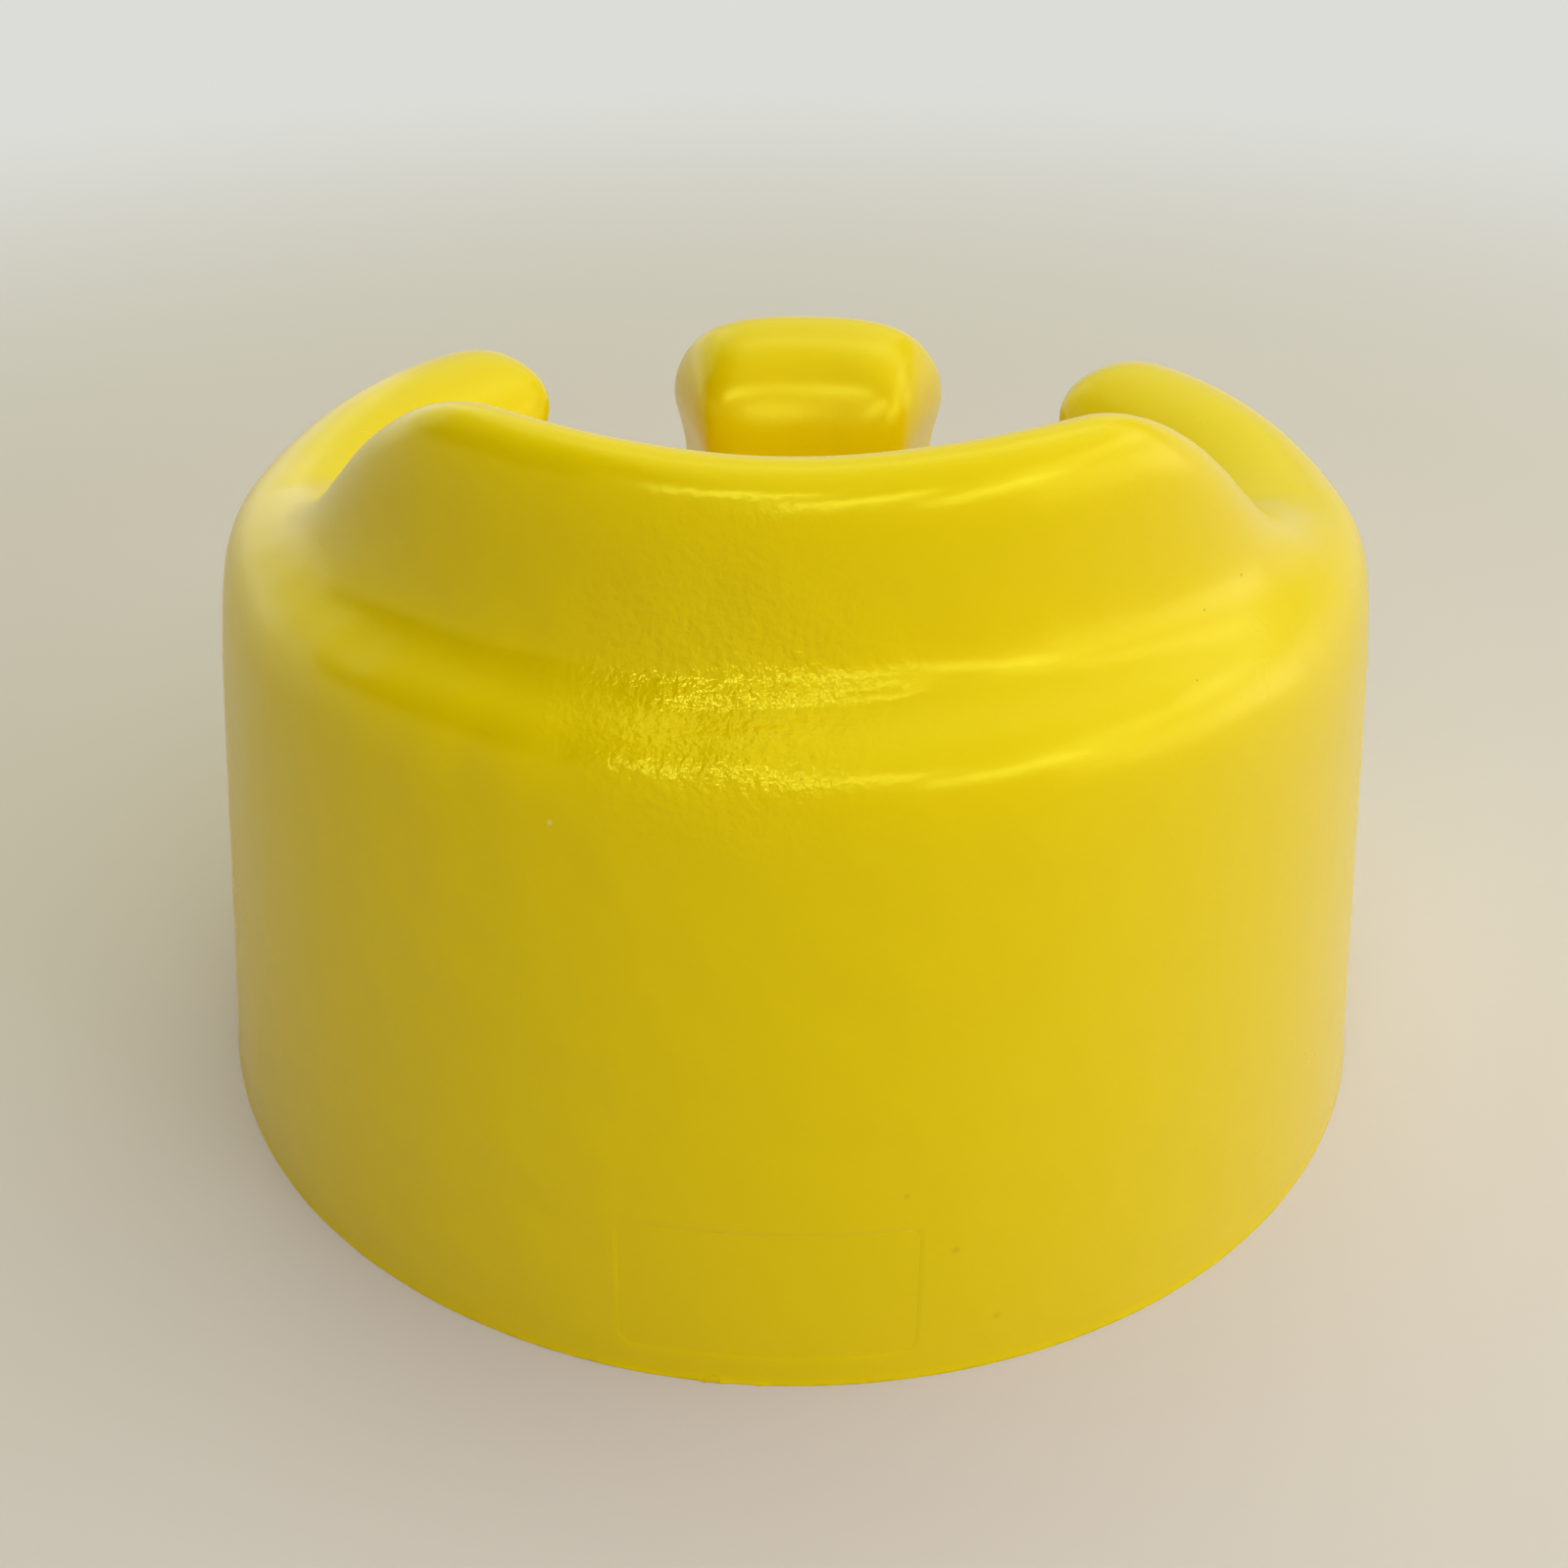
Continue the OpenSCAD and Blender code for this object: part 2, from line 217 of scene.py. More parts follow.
@dataclass(frozen=True)
class LabelPlace:
    """Rounded rectangle low on the back, where a label would be."""

    width: float = 77.0
    height: float = 40.0
    corner: float = 4.0
    lift: float = 8.5
    pocket_depth: float = 0.5
    film: float = 0.35
    lip: float = 1.4
    fall: float = 0.5

    @property
    def recess(self) -> float:
        """Depth of the film's face under the wall."""
        return self.pocket_depth - self.film

    def distance(self, x: Array, z: Array) -> Array:
        """Measures from the outline.

        Args:
            x: distances across from the middle of the back.
            z: heights.

        Returns:
            The distance outside the outline, negative inside it.
        """
        dx = np.abs(x) - self.width / 2 + self.corner
        dz = np.abs(z - self.lift - self.height / 2) - self.height / 2 + self.corner
        outside = np.hypot(np.maximum(dx, 0), np.maximum(dz, 0))
        return outside + np.minimum(np.maximum(dx, dz), 0) - self.corner

    def depth(self, x: Array, z: Array) -> Array:
        """Works out the pocket: a soft lip, and the fall to its floor under the film.

        Args:
            x: distances across from the middle of the back.
            z: heights.

        Returns:
            The depth under the wall.
        """
        d = self.distance(x, z)
        soft = self.recess * ease(0.5 - d / self.lip)
        return soft + self.film * ease((-d - self.lip / 2) / self.fall)


@dataclass(frozen=True)
class SeatSurface:
    """The outer surface of the seat: sections from the foot to the pan, round the seat.

    Angles are in degrees from the middle of the back, and the front is at 180.
    """

    foot_diameter: float = 369.0
    wall_draft: float = 6.8
    back_height: float = 231.0
    crest_dip: float = 3.0
    crest_thickness: float = 23.0
    crest_radius: float = 136.0
    valley_radius: float = 141.0
    shoulder_height: float = 171.0
    ledge_rise: float = 11.0
    shoulder_round: float = 31.0
    back_half_angle: float = 34.0
    side_angle: float = 90.0
    side_height: float = 173.5
    arm_height: float = 177.5
    arm_radius: float = 152.0
    arm_width: float = 39.0
    outer_roll: float = 7.0
    inner_roll: float = 14.0
    rim_round: float = 24.0
    arm_end_angle: float = 134.0
    arm_end_round: float = 15.5
    arm_end_corner: float = 14.0
    arm_inner_corner: float = 8.0
    arm_overhang: float = 9.5
    arm_undercut: float = 14.5
    opening_angle: float = 147.5
    opening_floor: float = 100.0
    trough_radius: float = 146.0
    trough_bend: float = 2.8
    pommel_height: float = 176.0
    pommel_width: float = 76.5
    pommel_radius: float = 132.0
    pommel_depth: float = 58.0
    pommel_round: float = 29.0
    pommel_corner: float = 13.0
    pommel_overhang: float = 8.0
    pommel_undercut: float = 2.0
    pommel_root_radius: float = 100.0
    pan_height: float = 48.0
    pan_flat_radius: float = 45.0
    pan_radius: float = 84.0
    pan_rise: float = 10.0
    skin_thickness: float = 3.0
    base_thickness: float = 3.0
    lip_drop: float = 0.36
    foot_fill: float = 2.0
    arm_run: float = 14.0
    pull_start: float = 42.0
    arm_waist: float = 38.0
    pommel_waist: float = 13.0
    arm_bulge: float = 3.5
    pommel_bulge: float = 15.0
    fan_arm: float = 90.0
    fan_opening: float = 135.0

    def wall_radius(self, z: Any) -> Any:
        """Returns the outer wall's radius at a height."""
        return self.foot_diameter / 2 - z * math.tan(math.radians(self.wall_draft))

    @property
    def pan_edge(self) -> Array:
        """Radius and height of the pan's edge."""
        return np.array([self.pan_radius, self.pan_height + self.pan_rise])

    @property
    def pommel_half_angle(self) -> float:
        """Half the angle between the pommel's side faces."""
        return math.degrees(math.asin(self.pommel_width / 2 / self.pommel_radius))

    # Sections: 15 control points of radius and height each

    def section(self, top: float, *points: Any) -> Array:
        """Puts a section together.

        Args:
            top: height of the wall's last point.
            points: points of radius and height from there to the edge of the pan.

        Returns:
            The points of the wall, these points and the flat of the pan.
        """
        heights = np.linspace(self.base_thickness, top, SPANS - 1 - len(points))
        wall = [[self.wall_radius(z), z] for z in heights]
        pan = [[self.pan_flat_radius, self.pan_height], [0, self.pan_height]]
        return np.array([*wall, *points, *pan])

    def well_points(self, rim: Array) -> list:
        """Returns the points from a rim's inner edge to the pan's edge."""
        return [mix(rim, self.pan_edge, share) for share in (0.2, 0.6, 1.0)]

    def back_section(self, height: float) -> Array:
        """Shapes the section through the backrest.

        Args:
            height: height of its crest.

        Returns:
            The section's control points.
        """
        valley_height = self.shoulder_height + self.ledge_rise
        face_height = mix(valley_height, self.back_height, 0.46)
        inner = np.array([self.crest_radius - self.crest_thickness, self.back_height])
        # The spline is highest at (a + 23 b + 23 c + d) / 48 of the four points round the crest
        crown = (48 * height - face_height - mix(inner, self.pan_edge, 0.2)[1]) / 46
        shoulder = self.wall_radius(self.shoulder_height)
        ledge_height = mix(self.shoulder_height, valley_height, 0.45)
        return self.section(
            self.shoulder_height - self.shoulder_round,
            [shoulder, self.shoulder_height],
            [mix(shoulder, self.valley_radius, 0.6), ledge_height],
            [self.valley_radius, valley_height],
            [mix(self.valley_radius, self.crest_radius, 0.6), face_height],
            [self.crest_radius, crown],
            [inner[0], crown],
            *self.well_points(inner),
        )

    def rim_section(self, height: float) -> Array:
        """Shapes the section through a side rim or an arm.

        Args:
            height: height of the rim.

        Returns:
            The section's control points.
        """
        crown = height + self.outer_roll / 6
        corner = crown - self.outer_roll
        inner = np.array([self.arm_radius - self.arm_width, crown - self.inner_roll])
        return self.section(
            corner - self.rim_round,
            [self.wall_radius(corner), corner],
            [self.arm_radius, crown],
            [self.arm_radius - self.arm_width / 3, crown],
            [self.arm_radius - self.arm_width * 2 / 3, crown - self.inner_roll / 4],
            inner,
            *self.well_points(inner),
        )

    def opening_section(self) -> Array:
        """Returns the section through the middle of a leg opening."""
        floor = self.opening_floor
        lip = self.wall_radius(floor)
        edge = self.pan_edge
        trough = [
            [mix(self.trough_radius, edge[0], t), mix(floor, edge[1], t**self.trough_bend)]
            for t in (0.25, 0.48, 0.67, 0.84, 1.0)
        ]
        return self.section(
            floor - self.rim_round,
            [lip, floor - self.lip_drop],
            [(self.trough_radius + lip) / 2, floor],
            [self.trough_radius, floor],
            *trough,
        )

    def pommel_section(self) -> Array:
        """Returns the section through the middle of the pommel."""
        top = self.pommel_height
        rounding = self.pommel_round
        middle = self.pommel_radius
        front, back = middle + self.pommel_depth / 2, middle - self.pommel_depth / 2
        crown = top + rounding / 14
        shoulder = top - rounding * 0.42
        edge = self.pan_edge
        return self.section(
            shoulder - rounding,
            [front - rounding / 8, shoulder],
            [mix(middle, front, 0.5), crown],
            [middle, crown],
            [mix(middle, back, 0.65), top - rounding / 8],
            [back, top - rounding * 0.8],
            [self.pommel_root_radius, mix(top, edge[1], 0.3)],
            [self.pommel_root_radius, mix(top, edge[1], 0.62)],
            edge + self.foot_fill,
        )

    # Rim lines: angle and height

    def arm_line(self) -> Array:
        """Returns the rim line from an arm down to the middle of the leg opening."""
        a, m, run = self.arm_end_angle, self.opening_angle, self.arm_run
        top, low = self.arm_height, self.opening_floor
        bend = ((1.3, 0), (1, 0), (0.72, 0), (0.43, 0.04), (0.14, 0.3), (0.01, 0.86))
        line = [[a - run * before, top - self.arm_end_round * drop] for before, drop in bend]
        for after, fall in ((0, 0.44), (0.02, 0.7), (0.12, 0.9)):
            line.append([a + run * after, mix(top, low, fall)])
        line += [[mix(a, m, 0.39), mix(top, low, 0.985)], [mix(a, m, 0.73), low]]
        return np.array([*line, [m, low], [m + 4, low]])

    def pommel_line(self) -> Array:
        """Returns the rim line from the leg opening up to the middle of the pommel."""
        half, m = self.pommel_half_angle, self.opening_angle
        a = 180 - half
        top, low, rounding = self.pommel_height, self.opening_floor, self.pommel_round
        line = [[m - 4, low], [m, low]]
        for share, rise in ((0.25, 0), (0.59, 0.015), (0.87, 0.09)):
            line.append([mix(m, a, share), mix(low, top, rise)])
        line += [[a - half / 40, mix(low, top, 0.27)], [a, mix(low, top, 0.54)]]
        for share, drop in ((0, 1), (0.11, 0.42), (0.34, 0.1), (0.63, 0.01), (1, 0), (1.37, 0.01)):
            line.append([a + half * share, top - rounding * drop])
        return np.array(line)

    # Stations: rim angle, pan angle, and the shares of dip, side, arm, opening and pommel

    def back_stations(self, angles: Array) -> Array:
        """Makes the stations from the middle of the back to an arm.

        Args:
            angles: rim angles of the stations.

        Returns:
            One row for each station.
        """
        start = self.arm_end_angle - self.arm_run
        share = angles / start
        before_side = self.side_angle - 2 - self.back_half_angle
        after_side = start - self.side_angle - 2
        zero = np.zeros_like(angles)
        shares = [
            1 - ease(angles / (self.back_half_angle + 2)),
            ease((angles - self.back_half_angle) / before_side),
            ease((angles - self.side_angle - 2) / after_side),
        ]
        return np.stack([angles, self.fan_arm * share, *shares, zero, zero], axis=1)

    def front_stations(self, line: Array, t: Array) -> Array:
        """Makes the stations along a rim line of the front.

        Args:
            line: the arm's or the pommel's rim line.
            t: places along the line, from 0 to 1.

        Returns:
            One row for each station.
        """
        low, one = self.opening_floor, np.ones_like(t)
        angle, height = (spline_weights(len(line), t) @ line).T
        if line[0, 0] < self.arm_end_angle:
            pan = mix(self.fan_arm, self.fan_opening, t)
            shares = [(self.arm_height - height) / (self.arm_height - low), 0 * one]
        else:
            pan = mix(self.fan_opening, 180, t)
            shares = [one, (height - low) / (self.pommel_height - low)]
        return np.stack([angle, pan, 0 * one, one, one, *shares], axis=1)

    def sections(self, stations: Array) -> Array:
        """Mixes the sections for the stations.

        Args:
            stations: stations round half the seat.

        Returns:
            Each station's control points, with one extra point at each end.
        """
        high = self.back_section(self.back_height)
        low = self.back_section(self.back_height - self.crest_dip)
        side = self.rim_section(self.side_height)
        arm = self.rim_section(self.arm_height)
        opening = self.opening_section()
        pommel = self.pommel_section()
        share = stations[:, 2:, None, None]
        full = mix(mix(high, low, share[:, 0]), side, share[:, 1])
        for k, change in enumerate((arm - side, opening - arm, pommel - opening)):
            full = full + change * share[:, 2 + k]
        first = 2 * full[:, :1] - full[:, 1:2]
        last = full[:, -2:-1] * np.array([-1, 1])
        return np.concatenate([first, full, last], axis=1)

    # Overhang of the arm ends and the pommel's head over the leg openings

    def pull_at(self, z: Array, out: float, drawn_in: Any, waist: float, bulge: float) -> Array:
        """How far a flank stands out over a leg opening.

        Args:
            z: heights of the points.
            out: how far the flank stands out at its top.
            drawn_in: how far it is drawn in at its waist.
            waist: height of the waist.
            bulge: height from which it stands out fully.

        Returns:
            The reach at each point, negative where the flank is drawn in.
        """
        low = self.pan_height + self.pan_rise
        top = ease((z - waist) / (bulge - waist))
        neck = ease((z - low) / (waist - low))
        return out * top - drawn_in * neck * (1 - top)

    @staticmethod
    def fall_back(distance: Array, corner: float) -> Array:
        """Returns how far a round corner falls back at a distance from the next face."""
        d = np.clip(distance, 0, corner)
        return corner - np.sqrt(np.maximum(corner**2 - (corner - d) ** 2, 0))

    def well_radius(self, z: Array) -> Array:
        """Works out the radius of the well's wall under the rims.

        Args:
            z: heights.

        Returns:
            The radius at each height.
        """
        low = self.pan_edge[1]
        share = np.clip((z - low) / (self.arm_height - self.inner_roll - low), 0, 1)
        return mix(self.pan_radius, self.arm_radius - self.arm_width, share)

    def side_shift(self, angle: Array, r: Array, z: Array) -> Array:
        """How far the flanks' overhangs and round corners move a point round the seat.

        Args:
            angle: angles of the rim at the points.
            r: radii of the points.
            z: heights of the points.

        Returns:
            The move of each point in millimetres, positive towards the front.
        """
        half = self.pommel_half_angle
        wall = self.wall_radius(z)
        arm_back = mix(self.arm_end_angle, self.opening_angle, 0.42)
        rise = (angle - self.arm_end_angle + self.pull_start) / (self.pull_start - 5)
        arm = ease(rise) * (1 - ease((angle - arm_back) / (self.opening_angle - arm_back)))
        past_opening = (angle - self.opening_angle) * 2 / (180 - half - self.opening_angle)
        pommel = ease((180 - angle) / (half * 0.85)) * ease(past_opening)
        arm_round = self.fall_back(wall - r, self.arm_end_corner)
        arm_round = arm_round + self.fall_back(r - self.well_radius(z), self.arm_inner_corner)
        inner = min(self.pommel_root_radius, self.pommel_radius - self.pommel_depth / 2)
        pommel_round = self.fall_back(wall - r, self.pommel_corner)
        pommel_round = pommel_round + self.fall_back(r - inner, self.pommel_corner)
        scoop_share = ease((r - self.pommel_radius) / (wall - self.pommel_radius))
        scoop = mix(self.arm_undercut, self.arm_overhang / 2, scoop_share)
        waist = self.opening_floor + self.arm_waist
        bulge = self.arm_height - self.arm_bulge
        arm_pull = self.pull_at(z, self.arm_overhang, scoop, waist, bulge)
        waist = self.opening_floor + self.pommel_waist
        bulge = self.pommel_height - self.pommel_bulge
        pommel_pull = self.pull_at(z, self.pommel_overhang, self.pommel_undercut, waist, bulge)
        return arm * (arm_pull - arm_round) - pommel * (pommel_pull - pommel_round)

    def points(self, stations: Array, rows: Array) -> Array:
        """Works out the surface's points.

        Args:
            stations: stations round half the seat.
            rows: places along the section, from 0 at the foot to 1 at the pan's middle.

        Returns:
            The points, one row of the array for each station.
        """
        sections = self.sections(stations)
        weights = spline_weights(sections.shape[1], rows)
        flat = np.einsum("rk,skc->src", weights, sections)
        r, z = flat[..., 0], flat[..., 1]
        rim, pan = stations[:, :1], stations[:, 1:2]
        fan = ease((r - self.pan_flat_radius) / (self.pommel_root_radius - self.pan_flat_radius))
        reach = np.maximum(r, self.pan_flat_radius)
        turn = fan * np.degrees(self.side_shift(rim, r, z) / reach)
        a = np.radians(mix(pan, rim, fan) + turn)
        return np.stack([r * np.sin(a), r * np.cos(a), z], axis=-1)


# ---- Meshes ----


def put(name: str, data: Any) -> Object:
    """Makes an object and adds it to the scene.

    Args:
        name: the object's name.
        data: its mesh, lamp or camera.

    Returns:
        The object.
    """
    made = bpy.data.objects.new(name, data)
    bpy.context.scene.collection.objects.link(made)
    return made


def grid_normals(rings: Array) -> Array:
    """Outward directions of a closed grid of points.

    Args:
        rings: points by column and row, with the columns closed into a ring.

    Returns:
        One unit vector for each point.
    """
    ahead = np.roll(rings, -1, axis=0) - np.roll(rings, 1, axis=0)
    up = np.gradient(rings, axis=1)
    normals = np.cross(up, ahead)
    return normals / np.maximum(np.linalg.norm(normals, axis=2, keepdims=True), 1e-9)


@dataclass
class MeshParts:
    """Points in millimetres and faces of a mesh that is put together."""

    points: list = field(default_factory=list)
    faces: list = field(default_factory=list)
    count: int = 0

    def add(self, points: Array) -> Array:
        """Adds points.

        Args:
            points: places in millimetres, in an array of any shape.

        Returns:
            The points' indices, in an array of the same shape.
        """
        self.points.append(points.reshape(-1, 3))
        start, shape = self.count, points.shape[:-1]
        self.count += len(self.points[-1])
        return np.arange(start, self.count).reshape(shape)

    def bridge(self, rings: Array) -> None:
        """Joins closed rings with quads that face out as the rings go up.

        Args:
            rings: indices of as many points in each ring, from the lowest ring up.
        """
        for low, high in zip(rings, rings[1:]):
            for k in range(len(low)):
                n = (k + 1) % len(low)
                self.faces.append((low[k], high[k], high[n], low[n]))

    def fan(self, ring: Array, middle: Any) -> None:
        """Closes a ring with triangles.

        Args:
            ring: indices of the ring's points.
            middle: a new point, in its middle.
        """
        centre = self.add(np.asarray(middle, float)[None])[0]
        for k in range(len(ring)):
            self.faces.append((ring[k], centre, ring[(k + 1) % len(ring)]))

    def build(self, name: str, sharp: float) -> Object:
        """Makes the object in metres.

        Args:
            name: its name.
            sharp: turn in degrees from which an edge is left sharp.

        Returns:
            The object.
        """
        mesh = bpy.data.meshes.new(name)
        mesh.from_pydata((np.concatenate(self.points) * MM).tolist(), [], self.faces)
        mesh.validate()
        mesh.polygons.foreach_set("use_smooth", [True] * len(mesh.polygons))
        mesh.update()
        mesh.set_sharp_from_angle(angle=math.radians(sharp))
        return put(name, mesh)


# ---- Sub-assemblies ----


@dataclass
class SeatSkin:
    """Dense skin over the whole seat, from the foot's edge to the middle of the pan."""

    surface: SeatSurface
    label: LabelPlace
    ripple: Ripple = Ripple()
    crease: Crease = Crease()
    above_foot: Fade = Fade(0.0, 6.0, 0.0)
    towards_back: Fade = Fade(-60.0, 160.0, 0.4)
    from_right: Fade = Fade(-130.0, 190.0, 0.45)
    to_left: Fade = Fade(70.0, 50.0, 1.0, 0.5)
    to_crest: Fade = Fade(200.0, 14.0, 1.0, 0.35)
    around_label: Fade = Fade(-4.2, 12.0, 0.0)
    label_columns: tuple = (8, 20)
    back_columns: int = 90
    arm_columns: int = 58
    pommel_columns: int = 57
    label_rows: tuple = (3, 16, 6, 16)
    wall_rows: int = 22
    upper_rows: tuple = ((3, 10.2, 62), (10.2, 13, 36), (13, SPANS, 6))
    inner_step: int = 2
    sharp: float = 60.0

    def half_stations(self) -> Array:
        """Returns stations from the middle of the back to the middle of the pommel."""
        s = self.surface
        half = self.label.width / 2
        corner = self.label.corner + self.label.lip
        wall = s.wall_radius(self.label.lift + self.label.height / 2)
        middle, side = self.label_columns
        across = steps((0, half - corner, middle), (half - corner, half + self.label.lip, side))
        near = np.degrees(np.arcsin(across / wall))
        arm_start = s.arm_end_angle - s.arm_run
        angles = steps((near[-1], arm_start, self.back_columns))[:-1]
        back = s.back_stations(np.concatenate([near[:-1], angles]))
        arm_places = np.linspace(0, 1, self.arm_columns, endpoint=False)
        arm = s.front_stations(s.arm_line(), arm_places)
        pommel = s.front_stations(s.pommel_line(), np.linspace(0, 1, self.pommel_columns))
        return np.concatenate([back, arm, pommel])

    def rows(self) -> Array:
        """Returns places along the section, closer together where the shape is tight."""
        s = self.surface
        span = (s.shoulder_height - s.shoulder_round - s.base_thickness) / 3
        lip = self.label.lip
        corner = self.label.corner + lip
        low, high = self.label.lift, self.label.lift + self.label.height
        ends = (s.base_thickness, low - lip, low + corner, high - corner, high + lip)
        heights = steps(*zip(ends, ends[1:], self.label_rows))
        wall = (heights - s.base_thickness) / span
        upper = steps((wall[-1], self.upper_rows[0][0], self.wall_rows), *self.upper_rows)
        return np.concatenate([wall[:-1], upper]) / SPANS

    def rings(self) -> Array:
        """Returns the smooth surface's points, by column round the seat and by row."""
        half = self.surface.points(self.half_stations(), self.rows())
        mirrored = half[-2:0:-1] * np.array([-1, 1, 1])
        return np.concatenate([half, mirrored])

    def unevenness(self, rings: Array) -> Array:
        """Works out how uneven the skin is.

        Args:
            rings: the smooth surface's points.

        Returns:
            How far each point stands out, with the label's pocket taken off.
        """
        x, y, z = (rings[..., k] for k in range(3))
        across = self.from_right.at(x) * self.to_left.at(x)
        up = self.above_foot.at(z - self.surface.base_thickness) * self.to_crest.at(z)
        ripple = self.ripple.at(rings) * self.towards_back.at(y) * across * up
        on_back = (y > 0) & (z < self.surface.shoulder_height / 2)
        calm = np.where(on_back, self.around_label.at(self.label.distance(x, z)), 1)
        pocket = np.where(on_back, self.label.depth(x, z), 0)
        return ripple * calm + self.crease.at(rings) - pocket

    def inner_rings(self, rings: Array) -> Array:
        """Makes the skin's inner side, on every other column and row.

        Args:
            rings: the smooth surface's points.

        Returns:
            The inner side's points.
        """
        normals = grid_normals(rings)
        level = normals[:, 0] * np.array([1, 1, 0])
        normals[:, 0] = level / np.linalg.norm(level, axis=1, keepdims=True)
        inner = rings - self.surface.skin_thickness * normals
        return inner[:: self.inner_step, : -1 : self.inner_step]

    def build(self) -> Object:
        """Makes the skin as a closed shell."""
        rings = self.rings()
        outer = rings + grid_normals(rings) * self.unevenness(rings)[..., None]
        inner = self.inner_rings(rings)
        parts = MeshParts()
        over = parts.add(outer[:, :-1])
        under = parts.add(inner)
        parts.bridge(over.T)
        parts.bridge(under.T[::-1])
        pan = outer[0, -1]
        parts.fan(over[:, -1], pan)
        parts.fan(under[::-1, -1], pan - [0, 0, self.surface.skin_thickness])
        self.close_foot(parts, over[:, 0], under[:, 0])
        return parts.build("seat_skin_shell", self.sharp)

    def close_foot(self, parts: MeshParts, outer: Array, inner: Array) -> None:
        """Joins the lower edges of the skin's two sides.

        Args:
            parts: the mesh that is put together.
            outer: indices along the outer side's edge.
            inner: indices along the inner side's edge.
        """
        step = self.inner_step
        for k in range(len(inner)):
            edge = [outer[(k * step + i) % len(outer)] for i in range(step + 1)]
            parts.faces.append((inner[k], *edge, inner[(k + 1) % len(inner)]))


@dataclass(frozen=True)
class Burr:
    """A torn spot of the flash: its angle in degrees, its reach and its width."""

    angle: float
    reach: float
    width: float


@dataclass(frozen=True)
class Thread:
    """A curl of torn flash: its angle in degrees, and points across, out from and up the wall."""

    angle: float
    points: tuple
    root: tuple = (0, 0.1, 0.2)
    beside: tuple = (0.3, 1.0, 0.2)
    radius: float = 0.11
    thinning: float = 0.6
    sides: int = 6
    rings: int = 24

    def add_to(self, parts: MeshParts, surface: SeatSurface) -> None:
        """Adds the curl as a closed thin tube.

        Args:
            parts: the mesh that is put together.
            surface: the seat's surface, which the curl lies against.
        """
        hand = np.array([self.root, *self.points], float)
        guide = np.concatenate([2 * hand[:1] - hand[1:2], hand, 2 * hand[-1:] - hand[-2:-1]])
        line = spline_weights(len(guide), np.linspace(0, 1, self.rings)) @ guide
        ahead = np.gradient(line, axis=0)
        side = np.cross(ahead, self.beside)
        side /= np.linalg.norm(side, axis=1, keepdims=True)
        other = np.cross(ahead, side)
        other /= np.linalg.norm(other, axis=1, keepdims=True)
        thin = self.radius * (1 - self.thinning * np.linspace(0, 1, self.rings))[:, None, None]
        turn = np.linspace(0, 2 * math.pi, self.sides, endpoint=False)[None, :, None]
        tube = line[:, None] + thin * (np.cos(turn) * side[:, None] + np.sin(turn) * other[:, None])
        a = math.radians(self.angle)
        radius = surface.wall_radius(tube[..., 2]) + tube[..., 1]
        across = tube[..., 0]
        x = radius * math.sin(a) + across * math.cos(a)
        y = radius * math.cos(a) - across * math.sin(a)
        rings = parts.add(np.stack([x, y, tube[..., 2]], axis=-1))
        parts.bridge(rings)
        parts.faces += [tuple(rings[0, ::-1]), tuple(rings[-1])]


